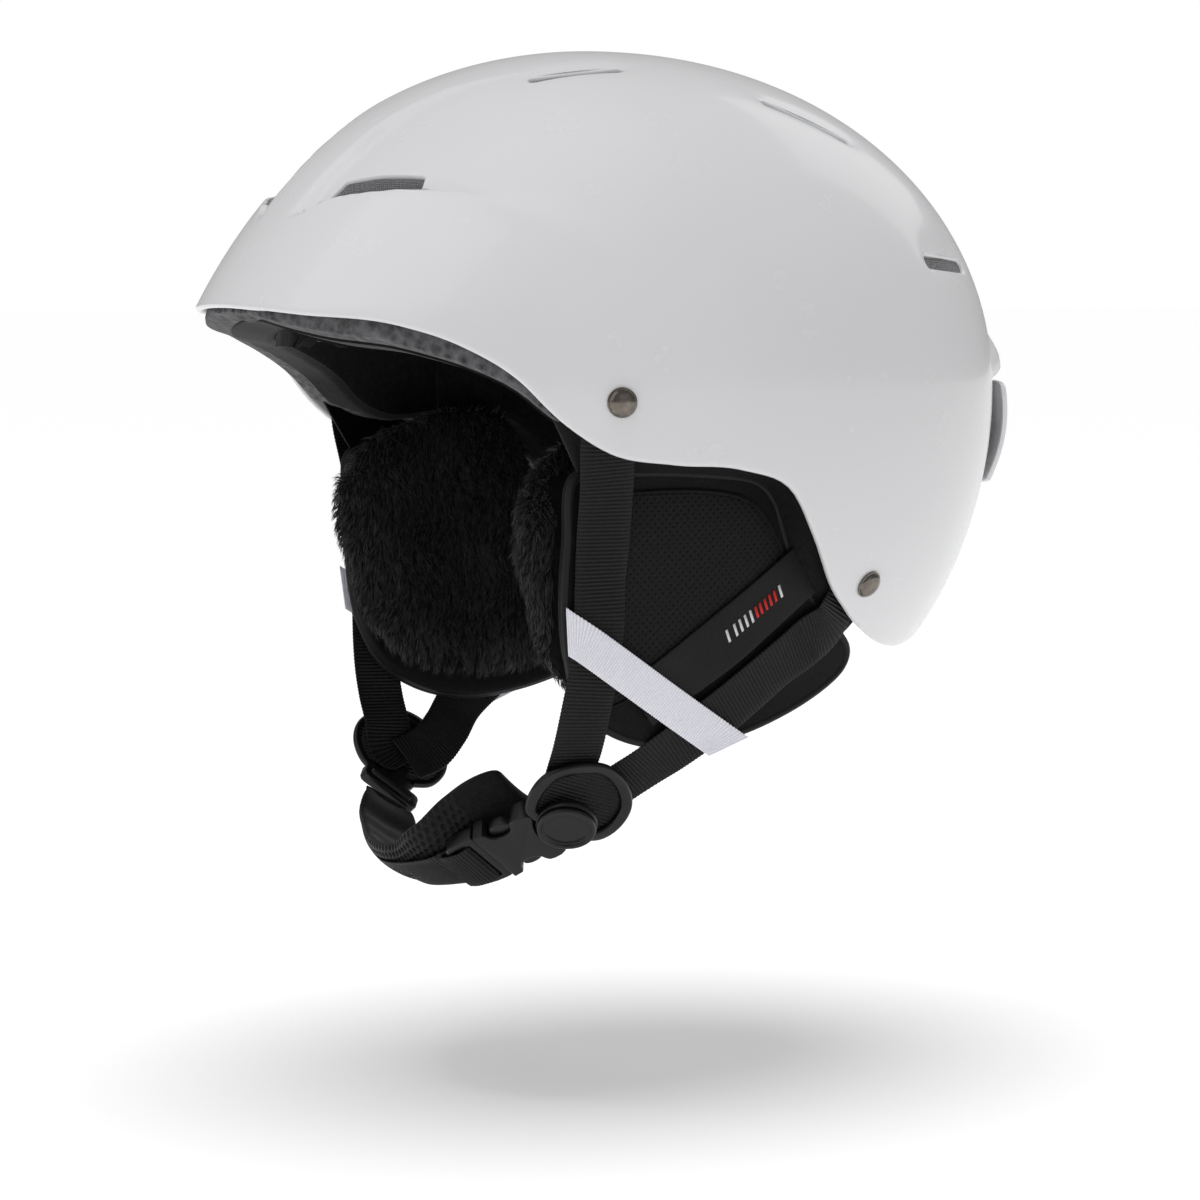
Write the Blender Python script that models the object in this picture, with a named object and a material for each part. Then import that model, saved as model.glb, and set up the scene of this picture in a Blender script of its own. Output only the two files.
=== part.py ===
"""Ski helmet: hard shell, foam liner, pads, ear pads, strap system with buckle, goggle clip.

Frame: +Z up, the face looks along -Y, the wearer's left is +X. The origin is inside the head
cavity, at the widest level. Sizes are in millimetres and are turned into metres at the end.
"""
import bpy
import bmesh
import numpy as np
from math import cos, pi, radians, sin
from mathutils import Vector

MM = 0.001
GAP = 0.35                      # clearance between touching pieces

# Shell: an egg-shaped dome
CROWN = 122.0                   # height of the top
HALF_WIDTH = 114.0
FRONT_REACH = 132.4
REAR_REACH = 145.1
CENTRE_Y = 1.1
DROP_FRONT, DROP_REAR, DROP_SIDE = 117.3, 117.9, 113.1      # crown to widest level
PLAN_POWER = 2.15               # roundness seen from above
SIDE_POWER = 2.07               # roundness seen from the side
LOWER_STRETCH = 1.13            # the dome below its widest level
BROW_FLARE = 8.6                # the brow edge kicks forwards
TAIL_FLARE = 6.0                # the nape edge kicks backwards
SHELL = 2.6                     # wall
COLUMNS, ROWS = 40, 12          # facets of the shell and of the liner
HALVINGS = 30                   # steps of a search by halving
FOAM = 26.0                     # liner thickness
FOAM_GAP = 1.3                  # between it and the shell
FOAM_INNER_LIP = 0.02           # its inner edge ends higher, by this polar angle
# The liner's edge above (+) or below (-) the shell's: (azimuth, height)
FOAM_EDGE = [(0, -7.0), (50, -7.0), (64, -3.0), (72, 2.0), (180, 2.5)]
PAD = 7.0                       # comfort pads
PAD_GAP = 1.2                   # between them and the liner

# Lower edge of the shell: (azimuth from the front in degrees, height)
RIM = [(0, 37), (23, 34.5), (41, 31), (50, 25), (58, 15), (65, 0), (71, -9), (80, -13), (90, -15.5),
       (96, -22), (101, -38), (106, -53), (113, -65), (122, -74), (137, -81), (155, -79), (180, -72)]

# Vents on the left: name, azimuth, height, length, width, slant of the long axis in degrees
VENTS = [("front", 24.5, 74.8, 38.0, 6.5, 6.0), ("top_front", 63.0, 112.5, 33.0, 4.0, 17.0),
         ("top_rear", 121.0, 97.4, 34.0, 4.0, -38.0), ("rear", 134.0, 50.0, 36.0, 5.0, 0.0)]
POCKET_EXTRA = (14.0, 10.0)     # a vent's pocket in the liner is this much longer and wider
SCREEN_EXTRA = (6.0, 5.0)       # and its screen
SCREEN_DEPTH = (1.1, 1.8)       # below the shell's inner face

# Rivets on the left: name, azimuth, height
RIVETS = [("front", 72.5, 5.8), ("rear", 114.8, -56.5)]
RIVET_HEAD = 4.8                # radius
RIVET_SHANK = 2.0
RIVET_HOLE = 2.5
RIVET_TAIL = (3.4, 1.1)         # radius, thickness
WASHER = (2.35, 5.5, 0.9)       # inner and outer radius, thickness
WEBBING = (18.0, 1.3)           # width, thickness
STRAP_DEPTH = (SHELL + 2.1, SHELL + 4.4)    # front and rear strap ends, below the shell's outer face
STRAP_LIFT = 1.6                # centre of a strap, above an ear pad

# Ear pads, outlines in (y, z)
COVER_OUTLINE = [(-51, -18), (-53, -40), (-53, -62), (-50, -80), (-43, -95), (-28, -105), (-8, -109),
                 (14, -106.5), (35, -100), (52, -92), (60, -85), (59, -77), (46, -65), (35, -53),
                 (28, -38), (23, -27), (14, -20), (-5, -17.5), (-28, -16.5)]
CUSHION_OUTLINE = [(-52, -4), (-62, -14), (-67, -30), (-65.5, -48), (-60, -68), (-54, -83), (-44, -95),
                   (-27, -102), (-8, -105), (13, -103), (32, -97), (46, -89), (50, -80), (42, -66),
                   (31, -53), (25, -38), (20, -22), (15, -6), (5, 3), (-12, 6), (-32, 4)]
COVER = 6.0                     # panel thickness
CUSHION_TUCK = 11.0             # the cushion's top steps in, to pass inside the liner
CUSHION_INNER = 68.0            # x of the face at the ear
LABEL = (16.0, 0.7)             # width, thickness
LABEL_ROUTE = [(33, -50.5), (17, -62), (2, -72.5), (-13, -83)]
STRIPE = (12.5, 0.7)
STRIPE_ROUTE = [(-53, -67), (-43, -73.5), (-20, -88.5), (-4, -99), (10, -108)]
STRIPE_LIFTS = (3.8, 3.9, 3.3, 3.4, 3.6)    # it crosses over both straps
TAB = (26.0, 1.2)
TAB_SPAN = (-14.5, 16.0)        # z of its foot and top

# Buckle: the hub's centre and its three directions
HUB = Vector((68.4, -42.0, -130.4))
HUB_RADIUS = 10.2
ALONG = Vector((-0.727, -0.528, -0.437)).normalized()
ACROSS = Vector((-0.191, 0.768, -0.610)).normalized()
FACE = ALONG.cross(ACROSS)
SOCKET = (11.2, 30.2, 23.0, 8.4)    # start, end, width, thickness
WINDOW = (15.7, 25.2)               # side openings, along the buckle
PRONG = 3.4                         # prong thickness
DIVIDER_BAR = (3.6, 2.4)            # the arch: width in its plane, thickness
DIVIDER_ARCH = [(68.4, -47.6, -131.6), (67.6, -54.2, -128.2), (72.6, -55.2, -121.5), (76.5, -51.5, -115.8),
                (78.9, -43, -113.5), (78.9, -34, -114.3), (76.5, -26.5, -119.5), (73, -22.5, -127.1),
                (69.5, -24.2, -133.6), (67.8, -29.5, -137.4), (68, -36.5, -137.3)]
TONGUE = (-2.0, 4.5, 2.4)           # start, half width, thickness
SOCKET_WALL = 1.6
PLUG_HALF = 3.0                     # half the thickness of the plug's frame
PLUG_FRAME = 12.5                   # its length
PLUG_SLOTS = ((3.2, 5.8), (8.0, 10.6))
BAR_SLOT = (2.6, 5.6)
SLOT_MARGIN = 2.2                   # material at both ends of a slot
BLADE = (4.0, 2.6, 1.2)             # start past the socket's own, half width, half thickness

# Chin strap and pad
CHIN_ROUTE = [(15.0, -70.5, -155.5), (0.0, -70.3, -156.8), (-18.0, -66.5, -155.2), (-33.0, -62.0, -152.0),
              (-40.0, -60.0, -149.2)]
CHIN_STUB = [(-40.6, -59.7, -148.8), (-46.5, -56.6, -144.6), (-52.8, -53.0, -139.9)]
CHIN_PAD = (28.0, 6.0)              # width, thickness
PAD_LEAD = ((21.0, -8.6), (33.0, -8.6), (45.0, -7.2))   # it starts behind the buckle: (along, out)

# Goggle clip
CLIP_HINGE = 13.0               # height of its hinge
CLIP_HALF_WIDTH = 45.0
CLIP_HEIGHT = 40.0
CLIP_NARROWING = 0.16           # share of its width that it loses towards the foot
CLIP_LIFT, CLIP_ARCH = 4.0, 1.8     # off the shell at its ends, and more in between
CLIP_THICKNESS = 2.0
BARREL = (2.6, 21.2)            # radius, length
PIN = (0.95, 31.0)
PIN_BORE = 1.3
KNUCKLE = 4.0                   # length of each knuckle on the base
BASE_HALF_WIDTH = 17.0
BASE_THICKNESS = 1.2
SNAP_RISE = 6.0                 # the snap stud, above the clip's foot

WHITE = ((0.86, 0.86, 0.87), 0.25, 0.0)
BLACK_PLASTIC = ((0.02, 0.02, 0.022), 0.45, 0.0)
BLACK_FABRIC = ((0.015, 0.015, 0.017), 0.9, 0.0)
FOAM_GREY = ((0.05, 0.05, 0.055), 0.85, 0.0)
GUNMETAL = ((0.28, 0.25, 0.22), 0.35, 1.0)
STEEL = ((0.55, 0.55, 0.56), 0.3, 1.0)
MESH_GREY = ((0.25, 0.25, 0.26), 0.8, 0.0)
RIBBON_WHITE = ((0.8, 0.8, 0.86), 0.85, 0.0)


# ---------------------------------------------------------------- helpers

def smooth_curve(x, points):
    """Cubic through (x, value) points, with the slopes of their neighbours."""
    px, py = np.array(points, float).T
    slope = np.gradient(py, px)
    slope[0] = slope[-1] = 0.0
    i = np.clip(np.searchsorted(px, x) - 1, 0, len(px) - 2)
    h = px[i + 1] - px[i]
    t = (x - px[i]) / h
    a = (1 + 2 * t) * (1 - t) ** 2 * py[i] + t ** 2 * (3 - 2 * t) * py[i + 1]
    return a + h * (t * (1 - t) ** 2 * slope[i] - t ** 2 * (1 - t) * slope[i + 1])


def signed_power(v, p):
    return np.sign(v) * np.abs(v) ** p


def side_shares(azimuth):
    """How much of the front, rear and side an azimuth sees."""
    c = np.cos(azimuth)
    return np.clip(c, 0, 1) ** 2, np.clip(-c, 0, 1) ** 2, np.sin(azimuth) ** 2


def dome(azimuth, polar):
    """Outer face of the shell: a superellipsoid, flared at the brow and at the nape."""
    front, rear, side = side_shares(azimuth)
    drop = DROP_FRONT * front + DROP_REAR * rear + DROP_SIDE * side
    reach = np.where(np.cos(azimuth) > 0, FRONT_REACH, REAR_REACH)
    out = np.abs(np.sin(polar)) ** (2 / SIDE_POWER)
    up = signed_power(np.cos(polar), 2 / SIDE_POWER)
    up = up * np.where(up < 0, LOWER_STRETCH, 1.0)
    x = HALF_WIDTH * signed_power(np.sin(azimuth), 2 / PLAN_POWER) * out
    y = CENTRE_Y - reach * signed_power(np.cos(azimuth), 2 / PLAN_POWER) * out
    z = CROWN - drop + drop * up
    y = y - BROW_FLARE * np.clip((95 - z) / 60, 0, 1) ** 2 * front
    y = y + TAIL_FLARE * np.clip((-20 - z) / 60, 0, 1) ** 2 * rear ** 0.5
    return np.stack([x, y, z], -1)


def dome_normal(azimuth, polar):
    step = 1e-3
    along = dome(azimuth + step, polar) - dome(azimuth - step, polar)
    down = dome(azimuth, polar + step) - dome(azimuth, polar - step)
    normal = np.cross(down, along)
    return normal / np.linalg.norm(normal, axis=-1, keepdims=True)


def skin(azimuth, polar, depth):
    """A face inside the shell's outer face, depth below it."""
    return dome(azimuth, polar) - dome_normal(azimuth, polar) * depth


def polar_at(azimuth, height):
    """The polar angle at which the dome has a height: the inverse of dome's z."""
    front, rear, side = side_shares(azimuth)
    drop = DROP_FRONT * front + DROP_REAR * rear + DROP_SIDE * side
    up = (height - CROWN + drop) / drop
    up = np.where(up < 0, up / LOWER_STRETCH, up)
    return np.arccos(np.clip(signed_power(up, SIDE_POWER / 2), -1, 1))


def rim_height(azimuth):
    turn = np.degrees(np.abs((np.asarray(azimuth) + pi) % (2 * pi) - pi))
    return smooth_curve(turn, RIM)


def shell_rim(azimuth):
    return polar_at(azimuth, rim_height(azimuth))


def on_shell(azimuth_deg, height, depth):
    azimuth = np.array([radians(azimuth_deg)])
    return Vector(skin(azimuth, polar_at(azimuth, height), depth)[0])


def shell_normal(azimuth_deg, height):
    azimuth = np.array([radians(azimuth_deg)])
    return Vector(dome_normal(azimuth, polar_at(azimuth, height))[0])


def finish(name, mesh_data, look):
    """A node from a bmesh or from (vertices, faces), in millimetres."""
    mesh = bpy.data.meshes.new(name)
    if isinstance(mesh_data, tuple):
        mesh.from_pydata([tuple(v) for v in mesh_data[0]], [], mesh_data[1])
        bm = bmesh.new()
        bm.from_mesh(mesh)
    else:
        bm = mesh_data
    bmesh.ops.scale(bm, vec=(MM, MM, MM), verts=bm.verts)
    bmesh.ops.recalc_face_normals(bm, faces=bm.faces)
    bm.to_mesh(mesh)
    bm.free()
    mesh.shade_smooth()
    mesh.set_sharp_from_angle(angle=radians(35))
    thing = bpy.data.objects.new(name, mesh)
    bpy.context.scene.collection.objects.link(thing)
    if look:
        colour, roughness, metallic = look
        material = bpy.data.materials.new(name)
        material.use_nodes = True
        shader = material.node_tree.nodes["Principled BSDF"]
        shader.inputs["Base Color"].default_value = (*colour, 1)
        shader.inputs["Roughness"].default_value = roughness
        shader.inputs["Metallic"].default_value = metallic
        mesh.materials.append(material)
    else:
        thing.hide_render = True
        thing.display_type = 'WIRE'
    return thing


def cut(thing, cutter):
    knife = thing.modifiers.new("cut", 'BOOLEAN')
    knife.operation = 'DIFFERENCE'
    knife.solver = 'EXACT'
    knife.object = cutter


def merge(meshes):
    """Several (vertices, faces) as one."""
    verts, faces = [], []
    for v, f in meshes:
        base = len(verts)
        verts += [tuple(p) for p in v]
        faces += [tuple(i + base for i in face) for face in f]
    return verts, faces


def mirrored(mesh):
    verts, faces = mesh
    return [(-v[0], v[1], v[2]) for v in verts], [tuple(reversed(f)) for f in faces]


def both_sides(name, mesh, look):
    """The wearer's left piece and its mirror image on the right."""
    finish("left_" + name, mesh, look)
    finish("right_" + name, mirrored(mesh), look)


def loft(rings):
    """A closed solid through rings of equal count, with flat ends."""
    count = len(rings[0])
    verts = [p for ring in rings for p in ring]
    faces = [tuple(range(count))[::-1]]
    for k in range(len(rings) - 1):
        for i in range(count):
            j = (i + 1) % count
            a, b = k * count, (k + 1) * count
            faces += [(a + i, a + j, b + j), (a + i, b + j, b + i)]
    last = (len(rings) - 1) * count
    faces.append(tuple(range(last, last + count)))
    return verts, faces


def through(points, steps):
    """Catmull-Rom curve through points, with steps points a span."""
    p = [Vector(q) for q in points]
    p = [p[0] * 2 - p[1]] + p + [p[-1] * 2 - p[-2]]
    out = []
    for i in range(1, len(p) - 2):
        for k in range(steps):
            t = k / steps
            a = 2 * p[i] + (p[i + 1] - p[i - 1]) * t
            b = (2 * p[i - 1] - 5 * p[i] + 4 * p[i + 1] - p[i + 2]) * t ** 2
            c = (3 * p[i] - p[i - 1] - 3 * p[i + 1] + p[i + 2]) * t ** 3
            out.append((a + b + c) / 2)
    out.append(p[-2])
    return out


def closed_through(points, steps):
    """Closed Catmull-Rom curve."""
    n = len(points)
    p = [Vector(q) for q in points]
    out = []
    for i in range(n):
        a, b, c, d = p[i - 1], p[i], p[(i + 1) % n], p[(i + 2) % n]
        for k in range(steps):
            t = k / steps
            out.append((2 * b + (c - a) * t + (2 * a - 5 * b + 4 * c - d) * t ** 2
                        + (3 * b - a - 3 * c + d) * t ** 3) / 2)
    return out


def ribbon(points, faces_along, width, thickness, steps=2):
    """Flat strap along points; faces_along are its outward directions at the same points."""
    path = through(points, steps)
    outward = [n.normalized() for n in through(faces_along, steps)]
    rings = []
    for i, p in enumerate(path):
        run = (path[min(i + 1, len(path) - 1)] - path[max(i - 1, 0)]).normalized()
        side = run.cross(outward[i]).normalized() * width / 2
        up = side.cross(run).normalized() * thickness / 2
        rings.append([p - side - up, p + side - up, p + side + up, p - side + up])
    return loft(rings)


def cylinder(start, axis, radii, sides):
    """Turned solid: radii are (distance along the axis, radius)."""
    u = axis.orthogonal().normalized()
    v = axis.cross(u)
    rings = []
    for distance, radius in radii:
        centre = start + axis * distance
        rings.append([centre + (u * cos(2 * pi * i / sides) + v * sin(2 * pi * i / sides)) * radius
                      for i in range(sides)])
    return loft(rings)


def patch(azimuths, top, bottom, outer, inner, rows):
    """Closed slab of the dome between two polar angles and two depths, open at the sides."""
    share = np.linspace(0, 1, rows)[:, None]
    polar = top[None, :] * (1 - share) + bottom[None, :] * share
    grid = np.broadcast_to(azimuths[None, :], polar.shape)
    return slab(skin(grid, polar, outer), skin(grid, polar, inner))


def slab(outside, inside):
    """Two grids of points joined round their edges."""
    rows, cols = outside.shape[:2]
    verts = [tuple(p) for p in outside.reshape(-1, 3)] + [tuple(p) for p in inside.reshape(-1, 3)]
    base = rows * cols
    faces = []
    for i in range(rows - 1):
        for j in range(cols - 1):
            a, b = i * cols + j, (i + 1) * cols + j
            faces += [(a, a + 1, b + 1), (a, b + 1, b)]
            faces += [(base + a, base + b + 1, base + a + 1), (base + a, base + b, base + b + 1)]
    edge = list(range(cols)) + [i * cols + cols - 1 for i in range(1, rows)]
    edge += [(rows - 1) * cols + j for j in range(cols - 2, -1, -1)]
    edge += [i * cols for i in range(rows - 2, 0, -1)]
    for k, a in enumerate(edge):
        b = edge[(k + 1) % len(edge)]
        faces.append((b, a, base + a, base + b))
    return verts, faces


def bowl(columns, rows, outer, inner, rows_rim, rim_outer, rim_inner):
    """Closed dome wall between two depths, from the crown to two rims (polar angles).

    The rows above the last are shares of rows_rim, so that nested bowls have facets that match."""
    azimuths = np.arange(columns) * 2 * pi / columns
    verts, faces, starts = [], [], []
    for depth, rim in ((outer, rim_outer), (inner, rim_inner)):
        share = np.linspace(0, 1, rows + 1)[1:, None]
        polar = share * rows_rim(azimuths)[None, :]
        polar[-1] = rim(azimuths)
        grid = np.broadcast_to(azimuths[None, :], polar.shape)
        starts.append(len(verts))
        verts.append((0.0, CENTRE_Y, CROWN - depth))
        verts += [tuple(p) for p in skin(grid, polar, depth).reshape(-1, 3)]
    for side, first in enumerate(starts):
        for j in range(columns):
            k = (j + 1) % columns
            face = [(first, first + 1 + j, first + 1 + k)]
            for i in range(rows - 1):
                a, b = first + 1 + i * columns, first + 1 + (i + 1) * columns
                face += [(a + j, b + j, b + k), (a + j, b + k, a + k)]
            faces += face if side == 0 else [tuple(reversed(f)) for f in face]
    last = 1 + (rows - 1) * columns
    for j in range(columns):
        k = (j + 1) % columns
        outside, inside = starts[0] + last, starts[1] + last
        faces.append((outside + j, inside + j, inside + k, outside + k))
    return verts, faces


# ---------------------------------------------------------------- shell and liner

def vent_frame(azimuth_deg, height, slant):
    """Centre, outward normal and long axis of a vent."""
    centre = on_shell(azimuth_deg, height, 0.0)
    normal = shell_normal(azimuth_deg, height)
    level = Vector((0, 0, 1)).cross(normal).normalized()
    rise = normal.cross(level)
    return centre, normal, level * cos(radians(slant)) + rise * sin(radians(slant))


def slot(centre, normal, along, length, width, outside, inside):
    """Prism with round ends, from outside above the centre to inside below it."""
    across = normal.cross(along).normalized()
    radius = width / 2
    outline = []
    for end, turn in ((1, -pi / 2), (-1, pi / 2)):
        for k in range(4):
            a = turn + pi * k / 3
            reach = end * (length / 2 - radius) + radius * cos(a)
            outline.append(along * reach + across * radius * sin(a))
    return loft([[centre + normal * d + p for p in outline] for d in (-inside, outside)])


def vent_slots(extra_length, extra_width, inside):
    slots = []
    for _, azimuth, height, length, width, slant in VENTS:
        frame = vent_frame(azimuth, height, slant)
        slots.append(slot(*frame, length + extra_length, width + extra_width, 12.0, inside))
    return slots


def make_shell():
    wall = bowl(COLUMNS, ROWS, 0.0, SHELL, shell_rim, shell_rim, shell_rim)
    shell = finish("outer_shell", wall, WHITE)
    holes = vent_slots(0.0, 0.0, 12.0)
    for _, azimuth, height in RIVETS:
        start = on_shell(azimuth, height, 8.0)
        holes.append(cylinder(start, shell_normal(azimuth, height), [(0, RIVET_HOLE), (16, RIVET_HOLE)], 8))
    cut(shell, finish("shell_holes", merge(holes + [mirrored(h) for h in holes]), None))


def foam_rim(azimuth):
    """The liner's edge: below the shell at the face, just above it at the ears and the nape."""
    turn = np.degrees(np.abs((np.asarray(azimuth) + pi) % (2 * pi) - pi))
    return polar_at(azimuth, rim_height(azimuth) + smooth_curve(turn, FOAM_EDGE))


def foam_inner_rim(azimuth):
    return foam_rim(azimuth) - FOAM_INNER_LIP


def make_foam():
    """The liner, with a pocket behind each vent and behind each strap's end."""
    wall = bowl(COLUMNS, ROWS, SHELL + FOAM_GAP, SHELL + FOAM, shell_rim, foam_rim, foam_inner_rim)
    foam = finish("foam_liner", wall, FOAM_GREY)
    pockets = vent_slots(*POCKET_EXTRA, 40.0)
    for route, facing in (front_strap_route(), rear_strap_route()):
        start, run = route[0], (route[0] - route[1]).normalized()
        pocket = [start + run * 6] + route[1:3]
        pocket.append(route[2] + (route[2] - route[1]).normalized() * 25)
        out = facing[0].normalized()
        pocket = [p - out * 2.0 for p in pocket]
        pockets.append(ribbon(pocket, [out] * 4, WEBBING[0] + 4, 13.0, 1))
    cut(foam, finish("foam_holes", merge(pockets + [mirrored(p) for p in pockets]), None))


def make_vent_meshes():
    """A thin screen behind each vent, against the shell's inner face."""
    for name, azimuth, height, length, width, slant in VENTS:
        centre, normal, along = vent_frame(azimuth, height, slant)
        along = along * (length + SCREEN_EXTRA[0])
        across = normal.cross(along).normalized() * (width + SCREEN_EXTRA[1])
        outside, inside = [], []
        for v in (-0.5, 0.5):
            row = [centre + along * u + across * v for u in np.linspace(-0.5, 0.5, 7)]
            faces = [p - normal * (drop_to_shell(p, normal) + SHELL) for p in row]
            outside.append([tuple(p - normal * SCREEN_DEPTH[0]) for p in faces])
            inside.append([tuple(p - normal * SCREEN_DEPTH[1]) for p in faces])
        both_sides(name + "_vent_mesh", slab(np.array(outside), np.array(inside)), MESH_GREY)


def drop_to_shell(point, normal):
    """How far below a point the shell lies, along a direction, found by halving."""
    low, high = -5.0, 12.0
    for _ in range(HALVINGS):
        middle = (low + high) / 2
        p = point - normal * middle
        low, high = (low, middle) if is_inside(p) else (middle, high)
    return high


def is_inside(p):
    azimuth = np.array([np.arctan2(p.x, -(p.y - CENTRE_Y))])
    front, rear, side = side_shares(azimuth)
    drop = (DROP_FRONT * front + DROP_REAR * rear + DROP_SIDE * side)[0]
    up = (p.z - CROWN + drop) / drop
    reach = FRONT_REACH if cos(azimuth[0]) > 0 else REAR_REACH
    y = p.y - CENTRE_Y + BROW_FLARE * np.clip((95 - p.z) / 60, 0, 1) ** 2 * front[0]
    plan = (abs(p.x) / HALF_WIDTH) ** PLAN_POWER + (abs(y) / reach) ** PLAN_POWER
    return plan ** (SIDE_POWER / PLAN_POWER) + abs(up) ** SIDE_POWER < 1


# ---------------------------------------------------------------- straps

def on_cover(y, z, lift):
    return Vector((cover_face(y, z), y, z)) + cover_normal(y, z) * lift


def cover_normal(y, z):
    lean_y = (cover_face(y + 1, z) - cover_face(y - 1, z)) / 2
    lean_z = (cover_face(y, z + 1) - cover_face(y, z - 1)) / 2
    return Vector((1, -lean_y, -lean_z)).normalized()


def front_strap_route():
    """Points and outward directions: rivet, rim, down the ear pad, behind the divider's arch."""
    inside = [on_shell(72.5, h, STRAP_DEPTH[0]) for h in (15.0, 5.8, -6.0)]
    y_z = [(-43.0, -52), (-42.0, -66), (-42.5, -80), (-43.0, -94)]
    on_pad = [on_cover(y, z, STRAP_LIFT) for y, z in y_z]
    free = [Vector((98.5, -45.5, -22)), Vector((94.2, -44, -37))] + on_pad
    free += [Vector((79.6, -43.4, -106)), Vector((74.2, -43.4, -115)), Vector((69.9, -43.6, -124.0))]
    facing = [shell_normal(72.5, h) for h in (15.0, 5.8, -6.0)] + [Vector((0.97, -0.16, -0.1))] * 2
    facing += [cover_normal(y, z) for y, z in y_z] + [Vector((0.9, -0.06, -0.4))] * 3
    return inside + free, facing


def rear_strap_route():
    inside = [on_shell(a, h, STRAP_DEPTH[1]) for a, h in ((117.3, -49.0), (114.8, -56.5))]
    y_z = [(48.0, -69.2), (38.0, -75.3), (27.0, -82), (7.0, -97)]
    free = [on_cover(y, z, STRAP_LIFT) for y, z in y_z]
    free += [Vector((80.6, -10, -109.5)), Vector((72.4, -20.5, -118.5)), Vector((67.6, -28.5, -124.5))]
    facing = [shell_normal(117.3, -49.0), shell_normal(114.8, -56.5), Vector((0.93, 0.27, -0.24))]
    facing += [cover_normal(y, z) for y, z in y_z[1:]]
    facing += [Vector((0.93, 0, -0.35)), Vector((0.86, -0.1, -0.5)), Vector((0.82, -0.2, -0.54))]
    return inside + free, facing


def make_rivets_and_straps():
    routes = (front_strap_route(), rear_strap_route())
    for (name, azimuth, height), (route, facing), depth in zip(RIVETS, routes, STRAP_DEPTH):
        normal = shell_normal(azimuth, height)
        face = on_shell(azimuth, height, 0.0)
        tail = -depth - 2.4
        tail_radius, tail_thickness = RIVET_TAIL
        profile = [(tail - tail_thickness, tail_radius), (tail, tail_radius), (tail, RIVET_SHANK),
                   (GAP, RIVET_SHANK), (GAP, RIVET_HEAD), (1.2, RIVET_HEAD), (2.2, 3.4), (2.7, 1.2)]
        both_sides(name + "_rivet", cylinder(face, normal, profile, 12), GUNMETAL)
        washer = ring(face + normal * (tail + 0.4), normal, *WASHER, 12)
        both_sides(name + "_rivet_washer", washer, STEEL)
        strap_hole = RIVET_SHANK + 0.4
        hole = cylinder(face + normal * tail, normal, [(0, strap_hole), (-tail, strap_hole)], 8)
        band = ribbon(route, facing, *WEBBING)
        for side, mesh, cutter in (("left_", band, hole), ("right_", mirrored(band), mirrored(hole))):
            strap = finish(side + name + "_strap", mesh, BLACK_FABRIC)
            cut(strap, finish(side + name + "_strap_hole", cutter, None))


def ring(start, axis, inner, outer, height, sides):
    """Flat washer, from start along axis."""
    u = axis.orthogonal().normalized()
    v = axis.cross(u)
    turns = [2 * pi * i / sides for i in range(sides)]
    corners = ((0, inner), (0, outer), (height, outer), (height, inner))
    verts = [start + axis * h + (u * cos(a) + v * sin(a)) * r for h, r in corners for a in turns]
    faces = []
    for k in range(4):
        a, b = k * sides, (k + 1) % 4 * sides
        faces += [(a + i, a + (i + 1) % sides, b + (i + 1) % sides, b + i) for i in range(sides)]
    return verts, faces


# ---------------------------------------------------------------- pads

def cover_face(y, z):
    """x of an ear pad's outer face, which closes in towards the jaw and the nape."""
    jaw = 0.17 * max(0.0, -78.0 - z)
    return 96.0 + 0.1 * z - jaw - (0.0030 if y > 0 else 0.0006) * y * y


def cushion_back(y, z):
    """x of an ear cushion's outer face: behind the cover, then tucked inside the liner."""
    share = min(1.0, max(0.0, (z + 27.0) / 11.0))
    return cover_face(y, z) - COVER - 1.0 - CUSHION_TUCK * share * share * (3 - 2 * share)


def cushion_front(y, z):
    """x of the face at the ear, which leans in with the jaw."""
    return CUSHION_INNER + 0.05 * z - 0.0012 * (y + 8.0) ** 2


def pillow(outline, x_outer, x_inner, edge):
    """Cushion from an outline in (y, z) and its two faces: its rim is set in by edge on both."""
    loop = [Vector((0, y, z)) for y, z in outline]
    centre = sum(loop, Vector()) / len(loop)

    def layer(share, face, depth):
        points = [centre + (p - centre) * share for p in loop]
        return [Vector((face(p.y, p.z) - depth, p.y, p.z)) for p in points]

    reach = sum((p - centre).length for p in loop) / len(loop)
    set_in = 1 - edge / reach
    shares = (0.02, 0.35, 0.68, set_in)
    rings = [layer(share, x_outer, 0.0) for share in shares] + [layer(1.0, x_outer, edge)]
    rings += [layer(1.0, x_inner, -edge)] + [layer(share, x_inner, 0.0) for share in reversed(shares)]
    return loft(rings)


def cover_back(y, z):
    return cover_face(y, z) - COVER


def cover_band(route, lifts, size):
    """Strip that lies over an ear pad's outer face."""
    points = [on_cover(y, z, lift) for (y, z), lift in zip(route, lifts)]
    return ribbon(points, [cover_normal(y, z) for y, z in route], *size, 1)


def make_ear_pads():
    both_sides("ear_cover", pillow(COVER_OUTLINE, cover_face, cover_back, 1.2), BLACK_FABRIC)
    both_sides("ear_cushion", pillow(CUSHION_OUTLINE, cushion_back, cushion_front, 5.0), BLACK_FABRIC)
    label_lifts = [GAP + LABEL[1]] * len(LABEL_ROUTE)
    both_sides("label_band", cover_band(LABEL_ROUTE, label_lifts, LABEL), BLACK_FABRIC)
    both_sides("white_ribbon", cover_band(STRIPE_ROUTE, STRIPE_LIFTS, STRIPE), RIBBON_WHITE)
    tab = []
    for z in np.linspace(*TAB_SPAN, 5):
        deep = on_shell(88, z, SHELL + FOAM + 2.6)
        tab.append(Vector((deep.x, -6.0, z)))
    both_sides("ear_pad_tab", ribbon(tab, [Vector((1, 0, 0))] * 5, *TAB, 1), BLACK_FABRIC)


def crown_cap(azimuths):
    return np.full(len(azimuths), radians(33.0))


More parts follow.
